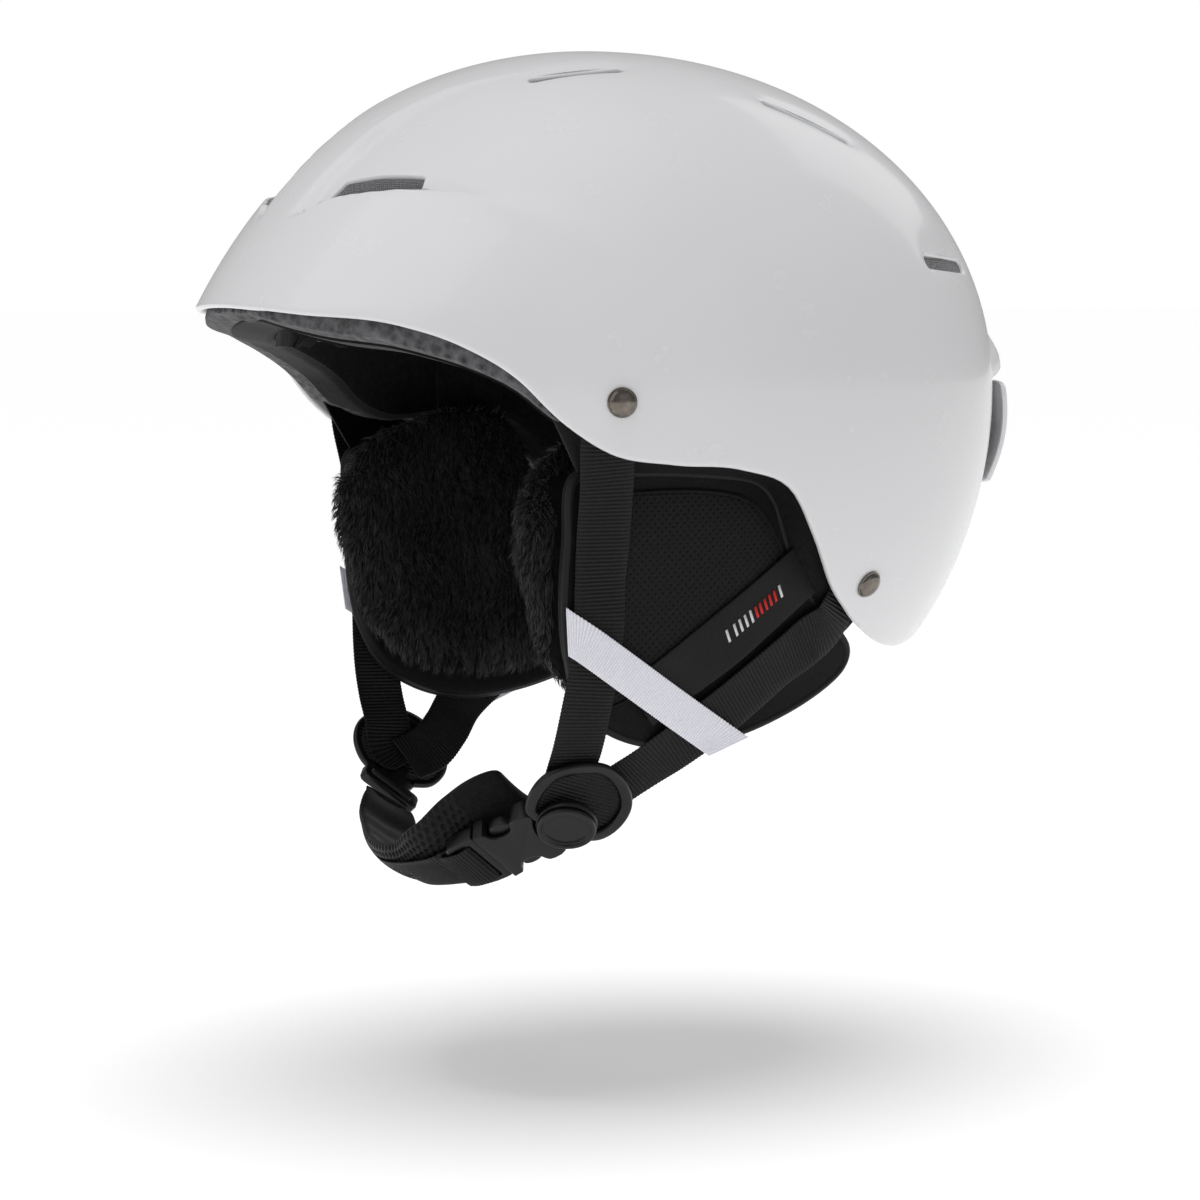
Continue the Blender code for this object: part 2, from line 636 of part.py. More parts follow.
def make_comfort_pads():
    outer = SHELL + FOAM + PAD_GAP
    inner = outer + PAD

    def pad(name, first, last, columns, top, bottom, rows, start=outer):
        azimuths = np.radians(np.linspace(first, last, columns))
        heights = bottom(azimuths) if callable(bottom) else bottom
        limits = polar_at(azimuths, top), polar_at(azimuths, heights)
        finish(name, patch(azimuths, *limits, start, inner, rows), BLACK_FABRIC)

    def above_rim(lift):
        return lambda a: rim_height(a) + lift

    pad("brow_pad", -58, 58, 17, 92, above_rim(5.0), 5)
    pad("left_side_pad", 66, 112, 8, 84, 22, 5, outer + 3.4)
    pad("right_side_pad", -112, -66, 8, 84, 22, 5, outer + 3.4)
    pad("rear_pad", 134, 226, 13, 70, -20, 5)
    pad("nape_pad", 140, 220, 11, -28, -62, 4)
    finish("crown_pad", bowl(24, 4, outer, inner, crown_cap, crown_cap, crown_cap), BLACK_FABRIC)


# ---------------------------------------------------------------- buckle and chin strap

def hub_point(along, across, out):
    return HUB + ALONG * along + ACROSS * across + FACE * out


def box(low, high):
    """Box in the buckle's own directions (along, across, out)."""
    (a0, c0, f0), (a1, c1, f1) = low, high
    return loft([[hub_point(a, c0, f0), hub_point(a, c1, f0), hub_point(a, c1, f1), hub_point(a, c0, f1)]
                 for a in (a0, a1)])


def unite(thing, tool):
    join = thing.modifiers.new("join", 'BOOLEAN')
    join.operation = 'UNION'
    join.solver = 'EXACT'
    join.object = tool


def disc(low, high, radius, sides=20):
    """Round plate on the hub's axis."""
    return cylinder(hub_point(0, 0, low), FACE, [(0, radius), (high - low, radius)], sides)


def make_dividers():
    """D-shaped arch that the two straps pass behind, on a round hub with a cap."""
    path = through(DIVIDER_ARCH, 2)
    rings = []
    for i, p in enumerate(path):
        run = (path[min(i + 1, len(path) - 1)] - path[max(i - 1, 0)]).normalized()
        side = run.cross(FACE).normalized() * DIVIDER_BAR[0] / 2
        up = side.cross(run).normalized() * DIVIDER_BAR[1] / 2
        rings.append([p - side - up, p + side - up, p + side + up, p - side + up])
    for side, mirror in (("left_", lambda m: m), ("right_", mirrored)):
        divider = finish(side + "divider", mirror(disc(1.6, 4.2, HUB_RADIUS)), BLACK_PLASTIC)
        unite(divider, finish(side + "arch", mirror(loft(rings)), None))
    profile = [(0, 9.6), (1.0, 9.6), (1.6, 8.8), (1.8, 4.0)]
    both_sides("divider_cap", cylinder(hub_point(0, 0, 4.2 + GAP), FACE, profile, 20), BLACK_PLASTIC)


def strap_tongue(start):
    """Flat tongue under the hub, which carries the buckle or the strap bar."""
    first, half, thick = TONGUE
    return box((first, -half, 1.6 - GAP - thick), (start + 1.0, half, 1.6 - GAP))


def make_socket():
    """Female half: a flat sleeve with side windows, on a tongue under the left hub."""
    start, end, width, thick = SOCKET
    wall, low, high = SOCKET_WALL, -thick / 2, thick / 2
    socket = finish("buckle_socket", box((start, -width / 2, low), (end, width / 2, high)), BLACK_PLASTIC)
    unite(socket, finish("socket_tongue", strap_tongue(start), None))
    mouth = box((start + 2, -width / 2 + wall, low + wall), (end + 5, width / 2 - wall, high - wall))
    near, far = WINDOW
    windows = [box((near, side * 7.0, low + 1.0), (far, side * 20.0, high - 1.0)) for side in (-1, 1)]
    cut(socket, finish("socket_mouth", mouth, None))
    cut(socket, finish("socket_windows", merge(windows), None))


def make_plug():
    """Male half: a frame for the webbing, a guide blade and two prongs of their own."""
    start, end, width, _ = SOCKET
    frame = box((end + GAP, -width / 2, -PLUG_HALF), (end + PLUG_FRAME, width / 2, PLUG_HALF))
    plug = finish("buckle_plug", frame, BLACK_PLASTIC)
    offset, half, thin = BLADE
    blade = box((start + offset, -half, -thin), (end + 3, half, thin))
    unite(plug, finish("plug_blade", blade, None))
    reach = width / 2 - SLOT_MARGIN
    slots = [box((end + first, -reach, -20), (end + last, reach, 20)) for first, last in PLUG_SLOTS]
    cut(plug, finish("plug_slots", merge(slots), None))
    near, far = WINDOW
    outline = [(end, 4.6), (end, 7.4), (far - 0.6, 8.4), (far - 0.9, 10.6), (near + 1.5, 10.2),
               (near - 1.0, 7.6), (near - 1.0, 5.6), (far - 1.5, 6.0)]
    for name, side in (("front", -1), ("rear", 1)):
        layers = [[hub_point(a, side * c, f) for a, c in outline] for f in (-PRONG / 2, PRONG / 2)]
        finish("prong_" + name, loft(layers), BLACK_PLASTIC)


def chin_facing(points):
    """Outward from under the chin."""
    return [Vector((p[0] * 0.012, -0.45, -0.8)).normalized() for p in points]


def make_strap_bar():
    """The chin strap's fixed end: a bar frame on a tongue under the right hub."""
    start, _, width, _ = SOCKET
    bar = box((start, -width / 2, -2.0), (start + 8.0, width / 2, 2.0))
    frame = finish("strap_bar", mirrored(bar), BLACK_PLASTIC)
    unite(frame, finish("strap_bar_tongue", mirrored(strap_tongue(start)), None))
    reach = width / 2 - SLOT_MARGIN
    slit = box((start + BAR_SLOT[0], -reach, -9), (start + BAR_SLOT[1], reach, 9))
    cut(frame, finish("strap_bar_slit", mirrored(slit), None))


def make_chin_strap():
    end = SOCKET[1]
    lead = [hub_point(end + 13.8, 0, 0), hub_point(end + 19.0, 0, 0)]
    route = lead + [Vector(p) for p in CHIN_ROUTE]
    facing = [FACE, FACE] + chin_facing(CHIN_ROUTE)
    finish("chin_strap", ribbon(route, facing, *WEBBING), BLACK_FABRIC)
    stub = [Vector(p) for p in CHIN_STUB]
    finish("chin_strap_anchor", ribbon(stub, chin_facing(stub), *WEBBING), BLACK_FABRIC)
    padded = CHIN_ROUTE[:-1]
    facing = chin_facing(padded)
    below = WEBBING[1] / 2 + GAP + CHIN_PAD[1] / 2
    pad = [hub_point(along, 0, out) for along, out in PAD_LEAD]
    pad += [Vector(p) - f * below for p, f in zip(padded, facing)]
    finish("chin_pad", ribbon(pad, [FACE] * len(PAD_LEAD) + facing, *CHIN_PAD), BLACK_FABRIC)


# ---------------------------------------------------------------- goggle clip

def rear_face(x, z, lift):
    """Point of the shell's back at x and z, lifted off it."""
    low, high = pi / 2, pi
    for _ in range(HALVINGS):
        azimuth = (low + high) / 2
        p = on_shell(np.degrees(azimuth), z, -lift)
        low, high = (azimuth, high) if p.x > x else (low, azimuth)
    return p


def back_band(half_width, heights, lift, thickness, columns):
    """Slab that follows the shell's back; lift is a function of the share of its height."""
    outside, inside = [], []
    for k, z in enumerate(heights):
        share = k / (len(heights) - 1)
        wide = half_width * (1 - CLIP_NARROWING * share)
        row_out, row_in = [], []
        for x in np.linspace(-wide, wide, columns):
            raised = lift(share)
            row_in.append(mirrored_back(x, z, raised))
            row_out.append(mirrored_back(x, z, raised + thickness))
        outside.append(row_out)
        inside.append(row_in)
    return slab(np.array(outside), np.array(inside))


def mirrored_back(x, z, lift):
    p = rear_face(abs(x), z, lift)
    return (p.x if x > 0 else -p.x if abs(x) > 1e-6 else 0.0, p.y, p.z)


def make_goggle_clip():
    """An arched arm, hinged at its top on a dark base, which a snap holds shut at its foot."""
    top, foot = CLIP_HINGE - 4.5, CLIP_HINGE - CLIP_HEIGHT
    heights = np.linspace(top, foot, 8)
    band = back_band(CLIP_HALF_WIDTH, heights, clip_lift, CLIP_THICKNESS, 13)
    arm = finish("goggle_clip_arm", band, WHITE)
    x_axis = Vector((1, 0, 0))
    pin_y = rear_face(0.0, CLIP_HINGE, 4.6).y
    centre = Vector((0, pin_y, CLIP_HINGE))
    radius, length = BARREL
    barrel = cylinder(centre - x_axis * length / 2, x_axis, [(0, radius), (length, radius)], 12)
    web = loft([[Vector((x, pin_y + 0.4, CLIP_HINGE)), Vector((x, pin_y + 2.4, CLIP_HINGE)),
                 Vector((x, pin_y + 2.6, top - 1.0)), Vector((x, pin_y + 0.6, top - 1.0))]
                for x in (-length / 2, length / 2)])
    unite(arm, finish("clip_barrel", barrel, None))
    unite(arm, finish("clip_web", web, None))
    bore = cylinder(centre - x_axis * 12, x_axis, [(0, PIN_BORE), (24, PIN_BORE)], 12)
    cut(arm, finish("clip_bore", bore, None))
    pin_radius, pin_length = PIN
    pin_ends = [(0, pin_radius), (pin_length, pin_radius)]
    pin = cylinder(centre - x_axis * pin_length / 2, x_axis, pin_ends, 12)
    finish("goggle_clip_pin", pin, STEEL)
    make_clip_base(pin_y, foot, x_axis)
    height = foot + SNAP_RISE
    stud_foot = rear_face(0.0, height, GAP + BASE_THICKNESS + GAP)
    profile = [(0, 3.4), (0.8, 3.4), (0.8, 2.0), (2.2, 2.0)]
    finish("goggle_clip_snap", cylinder(stud_foot, shell_normal(180, height), profile, 12), STEEL)


def clip_lift(share):
    return CLIP_LIFT + CLIP_ARCH * sin(pi * min(1, share * 1.05))


def base_lift(_):
    return GAP


def make_clip_base(pin_y, foot, x_axis):
    """Plate on the shell with a knuckle at each side of the arm's barrel."""
    heights = np.linspace(CLIP_HINGE + 3.0, foot + 3.0, 6)
    plate = back_band(BASE_HALF_WIDTH, heights, base_lift, BASE_THICKNESS, 7)
    base = finish("goggle_clip_base", plate, BLACK_PLASTIC)
    radius = BARREL[0]
    for name, side in (("right", -1), ("left", 1)):
        ear = Vector((side * 13.2 - KNUCKLE / 2, pin_y, CLIP_HINGE))
        knuckle = cylinder(ear, x_axis, [(0, radius), (KNUCKLE, radius)], 12)
        low, high = CLIP_HINGE - 2.2, CLIP_HINGE + 2.2
        corners = ((pin_y - 4.2, low), (pin_y, low), (pin_y, high), (pin_y - 4.2, high))
        foot_block = loft([[Vector((x, y, z)) for y, z in corners]
                           for x in (ear.x + 0.01, ear.x + KNUCKLE - 0.01)])
        unite(base, finish("clip_ear_" + name, knuckle, None))
        unite(base, finish("clip_foot_" + name, foot_block, None))
        hole = cylinder(ear - x_axis * 0.5, x_axis, [(0, PIN_BORE), (KNUCKLE + 1, PIN_BORE)], 12)
        cut(base, finish("clip_hole_" + name, hole, None))


def build():
    for old in list(bpy.data.objects):
        bpy.data.objects.remove(old)
    make_shell()
    make_foam()
    make_vent_meshes()
    make_rivets_and_straps()
    make_ear_pads()
    make_comfort_pads()
    make_dividers()
    make_socket()
    make_plug()
    make_strap_bar()
    make_chin_strap()
    make_goggle_clip()


build()
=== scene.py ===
from math import pi, radians

import bmesh
import bpy
import numpy as np
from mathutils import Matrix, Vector


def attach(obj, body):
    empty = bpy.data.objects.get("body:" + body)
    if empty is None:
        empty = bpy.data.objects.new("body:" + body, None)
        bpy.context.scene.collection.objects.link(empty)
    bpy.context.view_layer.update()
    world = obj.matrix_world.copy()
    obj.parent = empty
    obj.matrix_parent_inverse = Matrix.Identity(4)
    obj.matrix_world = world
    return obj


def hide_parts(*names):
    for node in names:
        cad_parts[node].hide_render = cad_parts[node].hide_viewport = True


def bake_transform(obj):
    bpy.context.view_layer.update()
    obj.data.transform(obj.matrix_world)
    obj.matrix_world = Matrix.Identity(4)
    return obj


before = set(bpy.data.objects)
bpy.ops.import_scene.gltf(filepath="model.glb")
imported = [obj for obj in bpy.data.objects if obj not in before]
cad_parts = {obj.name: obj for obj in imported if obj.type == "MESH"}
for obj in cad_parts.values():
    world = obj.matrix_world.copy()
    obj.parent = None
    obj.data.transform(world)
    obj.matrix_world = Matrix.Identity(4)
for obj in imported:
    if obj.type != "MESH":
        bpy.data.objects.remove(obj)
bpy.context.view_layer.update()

milli = 0.001                       # shapes are worked out in millimetres
scene = bpy.context.scene
print("frame loaded:", len(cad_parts), "solids")


# camera: level with the wearer's cheek, from the left front

cameraSet = {"azimuth": 63.0, "distance": 1200.0, "height": 43.0, "aim": (0.0, 0.0, -70.0),
             "frameWidth": 418.118, "shift": (0.0115, 0.0075)}


def makeCamera():
    # the lens takes in frameWidth at the aim point
    turn = radians(cameraSet["azimuth"])
    aim = Vector(cameraSet["aim"])
    away = cameraSet["distance"]
    place = Vector((np.sin(turn) * away, -np.cos(turn) * away, cameraSet["height"]))
    data = bpy.data.cameras.new("camera")
    data.sensor_width = 36.0
    data.lens = (place - aim).length * data.sensor_width / cameraSet["frameWidth"]
    data.shift_x, data.shift_y = cameraSet["shift"]
    data.clip_start, data.clip_end = 0.05, 50.0
    camera = bpy.data.objects.new("camera", data)
    scene.collection.objects.link(camera)
    camera.location = place * milli
    camera.rotation_euler = (aim - place).to_track_quat("-Z", "Y").to_euler()
    scene.camera = camera


makeCamera()


# mesh helpers

def gridFaces(rows, cols, closeRows=False, closeCols=False, start=0):
    # quads between neighbours of a rows x cols grid of points, wrapped where asked
    r = np.arange(rows if closeRows else rows - 1)[:, None]
    c = np.arange(cols if closeCols else cols - 1)[None, :]
    nextRow, nextCol = (r + 1) % rows, (c + 1) % cols
    corners = [r * cols + c, r * cols + nextCol, nextRow * cols + nextCol, nextRow * cols + c]
    return (np.stack(corners, -1).reshape(-1, 4) + start).tolist()


def turnOut(mesh):
    # faces of a closed mesh point out
    bm = bmesh.new()
    bm.from_mesh(mesh)
    bmesh.ops.recalc_face_normals(bm, faces=bm.faces)
    bm.to_mesh(mesh)
    bm.free()


def addPiece(name, points, faces, look, body, slotName, nodes=(), uv=None, sharp=None, outward=True):
    mesh = bpy.data.meshes.new(name)
    mesh.from_pydata((np.asarray(points, float).reshape(-1, 3) * milli).tolist(), [], faces)
    if outward:
        turnOut(mesh)
    if uv is not None:
        corner = np.empty(len(mesh.loops), np.int32)
        mesh.loops.foreach_get("vertex_index", corner)
        mesh.uv_layers.new(name="weave").data.foreach_set("uv", uv[corner].astype(np.float32).ravel())
    mesh.shade_smooth()
    if sharp:
        mesh.set_sharp_from_angle(angle=radians(sharp))
    mesh.materials.append(look)
    piece = bpy.data.objects.new(name, mesh)
    scene.collection.objects.link(piece)
    if body:
        settle(piece, body, slotName, nodes)
    return piece


def settle(piece, body, slotName, nodes=()):
    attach(piece, body)
    if nodes:
        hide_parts(*nodes)


def bothSides(name, points, faces, look, slotName, nodes=(), **rest):
    # the wearer's left piece and its mirror image
    points = np.asarray(points, float).reshape(-1, 3)
    made = []
    for side, flip in (("left", 1.0), ("right", -1.0)):
        order = faces if flip > 0 else [f[::-1] for f in faces]
        made.append(addPiece(side + name, points * [flip, 1, 1], order, look, "root", slotName,
                             [side + "_" + n for n in nodes], **rest))
    return made


def bake(piece):
    # modifiers become the mesh
    graph = bpy.context.evaluated_depsgraph_get()
    graph.update()
    piece.data = bpy.data.meshes.new_from_object(piece.evaluated_get(graph))
    piece.modifiers.clear()
    return piece


def carve(piece, points, faces, mode='DIFFERENCE'):
    tool = addPiece("tool", points, faces, piece.data.materials[0], None, None)
    knife = piece.modifiers.new("knife", 'BOOLEAN')
    knife.operation, knife.solver, knife.object = mode, 'EXACT', tool
    bake(piece)
    bpy.data.objects.remove(tool)


def joined(parts):
    # several (points, faces) as one
    points, faces, start = [], [], 0
    for p, f in parts:
        p = np.asarray(p, float).reshape(-1, 3)
        faces += [[i + start for i in face] for face in f]
        points.append(p)
        start += len(p)
    return np.concatenate(points), faces


def tube(rings, closed=False):
    # rings (n, m, 3) joined in order, with flat ends unless the tube closes on itself
    n, m = rings.shape[:2]
    faces = gridFaces(n, m, closeRows=closed, closeCols=True)
    if not closed:
        faces += [list(range(m))[::-1], list(range((n - 1) * m, n * m))]
    return rings.reshape(-1, 3), faces


def signedPower(v, p):
    return np.sign(v) * np.abs(v) ** p


def smoothStep(v):
    v = np.clip(v, 0, 1)
    return v * v * (3 - 2 * v)


def unit(v):
    return v / np.linalg.norm(v, axis=-1, keepdims=True)


def insetLoop(loop, inset):
    # moves a closed outline inwards along its own normals
    run = unit(np.roll(loop, -1, 0) - np.roll(loop, 1, 0))
    inward = np.stack([-run[:, 1], run[:, 0]], -1)
    area = np.sum(loop[:, 0] * np.roll(loop[:, 1], -1) - np.roll(loop[:, 0], -1) * loop[:, 1])
    return loop + inward * inset * np.sign(area)


def throughPoints(points, count, closed=False):
    # Catmull-Rom curve through the points, read at even steps of its length in the first three numbers
    p = np.asarray(points, float)
    before, after = (p[-1:], p[:2]) if closed else (2 * p[:1] - p[1:2], 2 * p[-1:] - p[-2:-1])
    p = np.concatenate([before, p, after])
    t = np.linspace(0, 1, 24, endpoint=False)[:, None]
    a, b, c, d = p[:-3, None], p[1:-2, None], p[2:-1, None], p[3:, None]
    fine = (2 * b + (c - a) * t + (2 * a - 5 * b + 4 * c - d) * t ** 2 + (3 * b - a - 3 * c + d) * t ** 3) / 2
    fine = np.concatenate([fine.reshape(-1, p.shape[1]), p[-2:-1]])
    gone = np.concatenate([[0], np.cumsum(np.linalg.norm(np.diff(fine[:, :3], axis=0), axis=1))])
    at = np.linspace(0, gone[-1], count + 1 if closed else count)
    at = at[:-1] if closed else at
    return np.stack([np.interp(at, gone, fine[:, k]) for k in range(p.shape[1])], -1), gone[-1]


def hermite(x, table):
    # cubic through (x, value) pairs, flat at both ends
    px, py = np.array(table, float).T
    slope = np.gradient(py, px)
    slope[0] = slope[-1] = 0.0
    i = np.clip(np.searchsorted(px, x) - 1, 0, len(px) - 2)
    h = px[i + 1] - px[i]
    t = np.clip((x - px[i]) / h, 0, 1)
    ends = (1 + 2 * t) * (1 - t) ** 2 * py[i] + t ** 2 * (3 - 2 * t) * py[i + 1]
    return ends + h * (t * (1 - t) ** 2 * slope[i] - t ** 2 * (1 - t) * slope[i + 1])


def turned(centre, axis, profile, sides=48):
    # profile pairs (radius, height) carried round an axis
    axis = unit(np.asarray(axis, float))
    u = unit(np.cross(axis, [0.31, 0.52, 0.79]))
    v = np.cross(axis, u)
    turn = np.arange(sides) * 2 * pi / sides
    spoke = np.cos(turn)[:, None] * u + np.sin(turn)[:, None] * v
    r, h = np.array(profile, float).T
    return tube(np.asarray(centre) + r[:, None, None] * spoke[None] + h[:, None, None] * axis)


# materials: every pattern reads Object coordinates or the piece's own UV map

# a material with short ways to add a pattern, a bump and a mix
class Look:

    def __init__(self, name, colour, roughness, **values):
        self.material = bpy.data.materials.new(name)
        self.material.use_nodes = True
        self.tree = self.material.node_tree
        self.shader = self.tree.nodes["Principled BSDF"]
        self.set("Base Color", (*colour, 1))
        self.set("Roughness", roughness)
        for key, value in values.items():
            self.set({"metallic": "Metallic", "coat": "Coat Weight", "coatRoughness": "Coat Roughness",
                      "sheen": "Sheen Weight", "sheenRoughness": "Sheen Roughness",
                      "specular": "Specular IOR Level"}[key], value)
        self.normal = None

    def set(self, socket, value):
        self.shader.inputs[socket].default_value = value

    def node(self, kind, **values):
        made = self.tree.nodes.new("ShaderNode" + kind)
        for key, value in values.items():
            if hasattr(made, key):
                setattr(made, key, value)
            else:
                self.feed(made.inputs[key.replace("_", " ").title()], value)
        return made

    def feed(self, socket, value):
        if isinstance(value, bpy.types.NodeSocket):
            self.tree.links.new(value, socket)
        else:
            socket.default_value = value

    def place(self, stretch=(1, 1, 1), uv=False, turn=(0, 0, 0)):
        # where the pattern is read, scaled
        source = self.node("TexCoord").outputs["UV" if uv else "Object"]
        mapping = self.node("Mapping")
        mapping.inputs["Scale"].default_value = stretch
        mapping.inputs["Rotation"].default_value = turn
        self.tree.links.new(source, mapping.inputs["Vector"])
        return mapping.outputs["Vector"]

    def noise(self, scale, detail=3.0, roughness=0.5, **place):
        made = self.node("TexNoise", scale=scale, detail=detail)
        made.inputs["Roughness"].default_value = roughness
        self.tree.links.new(self.place(**place), made.inputs["Vector"])
        return made.outputs["Fac"]

    def cells(self, scale, feature='F1', **place):
        made = self.node("TexVoronoi", feature=feature, scale=scale)
        self.tree.links.new(self.place(**place), made.inputs["Vector"])
        return made.outputs["Distance"]

    def math(self, operation, a, b=0.0):
        made = self.node("Math", operation=operation)
        self.feed(made.inputs[0], a)
        self.feed(made.inputs[1], b)
        return made.outputs[0]

    def spread(self, value, low, high, fromLow=0.0, fromHigh=1.0):
        made = self.node("MapRange")
        for key, number in (("From Min", fromLow), ("From Max", fromHigh), ("To Min", low), ("To Max", high)):
            made.inputs[key].default_value = number
        self.tree.links.new(value, made.inputs["Value"])
        return made.outputs["Result"]

    def tint(self, value, dark, light, low=0.3, high=0.7):
        # base colour between two tones as value goes from low to high
        ramp = self.node("ValToRGB")
        ramp.color_ramp.elements[0].position, ramp.color_ramp.elements[1].position = low, high
        ramp.color_ramp.elements[0].color, ramp.color_ramp.elements[1].color = (*dark, 1), (*light, 1)
        self.tree.links.new(value, ramp.inputs["Fac"])
        self.tree.links.new(ramp.outputs["Color"], self.shader.inputs["Base Color"])

    def gloss(self, value, low, high):
        self.tree.links.new(self.spread(value, low, high), self.shader.inputs["Roughness"])

    def bump(self, height, depthMm, strength=1.0):
        made = self.node("Bump")
        made.inputs["Strength"].default_value = strength
        made.inputs["Distance"].default_value = depthMm * milli
        self.tree.links.new(height, made.inputs["Height"])
        if self.normal:
            self.tree.links.new(self.normal, made.inputs["Normal"])
        self.normal = made.outputs["Normal"]
        self.tree.links.new(self.normal, self.shader.inputs["Normal"])


def paintLook():
    # sprayed gloss white: faint orange peel, a breath of variation in gloss
    look = Look("shellPaint", (0.8, 0.8, 0.812), 0.27, coat=0.35, coatRoughness=0.07)
    look.tint(look.noise(9.0, 2.0), (0.7, 0.7, 0.715), (0.73, 0.73, 0.743), 0.0, 1.0)
    look.gloss(look.noise(60.0, 4.0), 0.22, 0.3)
    look.bump(look.noise(420.0, 2.0), 0.012, 0.35)
    return look.material


def foamLook():
    # moulded beads about 3 mm across, grey where the mould skin has rubbed
    look = Look("linerBeads", (0.06, 0.06, 0.064), 0.8, specular=0.35)
    bead = look.cells(330.0)
    rubbed = look.math('MULTIPLY', look.noise(330.0, 6.0, 0.75), 0.8)
    look.tint(look.math('ADD', rubbed, look.math('MULTIPLY', bead, 0.4)),
              (0.02, 0.02, 0.022), (0.15, 0.15, 0.155), 0.35, 0.85)
    look.bump(look.math('SUBTRACT', 1.0, bead), 0.5, 0.75)
    look.bump(look.noise(900.0, 3.0), 0.12, 0.5)
    return look.material


def clothLook(name, dark, light, scale, depth, sheen=0.25, roughness=0.85, stretch=(1, 1, 1)):
    # brushed cloth: fine fibre noise in tone and height, with sheen
    look = Look(name, dark, roughness, sheen=sheen, sheenRoughness=0.45, specular=0.12)
    look.tint(look.noise(scale, 5.0, 0.65, stretch=stretch), dark, light)
    look.bump(look.noise(scale * 1.7, 4.0, 0.7, stretch=stretch), depth, 0.7)
    return look.material


def webbingLook(name, dark, light, pitch, yarn, sheen, roughness):
    # the strip's UV is (across, along) in mm: painted shade darkens the grooves between the ribs and a
    # painted highlight lightens their crests; slanted yarns lie along each rib
    look = Look(name, dark, roughness, sheen=sheen, sheenRoughness=0.35, specular=0.18)
    split = look.node("SeparateXYZ")
    look.tree.links.new(look.place(uv=True), split.inputs[0])
    across, along = split.outputs[0], split.outputs[1]
    rib = look.math('COSINE', look.math('MULTIPLY', along, 2 * pi / pitch))
    slanted = look.math('ADD', across, look.math('MULTIPLY', along, 0.55))
    strand = look.math('SINE', look.math('MULTIPLY', slanted, 2 * pi / yarn))
    flecks = look.noise(1300.0, 3.0, 0.65)
    # crest mixes painted rib light and shade (dark grooves, light crests) with the yarn pattern
    crest = look.math('ADD', look.math('MULTIPLY', rib, 0.3), look.math('MULTIPLY', strand, 0.12))
    look.tint(look.math('ADD', crest, flecks), dark, light, 0.15, 0.95)
    look.bump(strand, 0.05, 0.6)
    look.bump(flecks, 0.07, 0.6)
    return look.material


def dimpleLook():
    # stretch fabric: small round dimples on a square lattice turned by 45 degrees, 1.9 mm apart, with painted
    # shade in the dimples
    look = Look("dimpledStretch", (0.01, 0.01, 0.0105), 0.72, sheen=0.06, sheenRoughness=0.4, specular=0.12)
    split = look.node("SeparateXYZ")
    look.tree.links.new(look.place(turn=(radians(45), 0, 0)), split.inputs[0])
    turns = 2 * pi / 0.0019
    waves = [look.math('COSINE', look.math('MULTIPLY', split.outputs[axis], turns)) for axis in (1, 2)]
    hole = look.spread(look.math('MULTIPLY', look.math('ADD', *waves), 0.5), 1.0, 0.0, 0.25, 0.9)
    fibre = look.noise(900.0, 5.0, 0.7)
    # painted shade: the colour darkens where the dimple sinks, mixed with the fibre tone
    look.tint(look.math('ADD', look.math('MULTIPLY', hole, 0.35), look.math('MULTIPLY', fibre, 0.65)),
              (0.0015, 0.0015, 0.0018), (0.013, 0.013, 0.0135), 0.25, 0.8)
    look.bump(hole, 0.22, 0.8)
    look.bump(fibre, 0.1, 0.6)
    return look.material


def mouldedLook(name="mouldedBlack", tone=0.004, low=0.24, high=0.38):
    # satin acetal: soft mould grain, slightly uneven gloss
    look = Look(name, (tone, tone, tone * 1.06), 0.36, specular=0.36)
    look.tint(look.noise(90.0, 3.0), (tone * 0.8,) * 3, (tone * 1.5,) * 3)
    look.gloss(look.noise(240.0, 4.0), low, high)
    look.bump(look.noise(2200.0, 2.0), 0.02, 0.4)
    return look.material


def metalLook(name, dark, light, low, high):
    look = Look(name, dark, 0.3, metallic=1.0)
    look.tint(look.noise(350.0, 5.0, 0.6), dark, light)
    look.gloss(look.noise(800.0, 4.0), low, high)
    look.bump(look.noise(1200.0, 2.0), 0.01, 0.4)
    return look.material


def pileLook():
    # one strand's tone comes from its own attribute: a random tone per strand, darkened towards the root as
    # painted shade in the pile
    look = Look("plushPile", (0.012, 0.012, 0.013), 0.5, sheen=0.15, sheenRoughness=0.4, specular=0.45)
    tone = look.node("Attribute", attribute_name="tone").outputs["Fac"]
    look.tint(tone, (0.003, 0.003, 0.0035), (0.05, 0.048, 0.048), 0.0, 1.0)
    return look.material


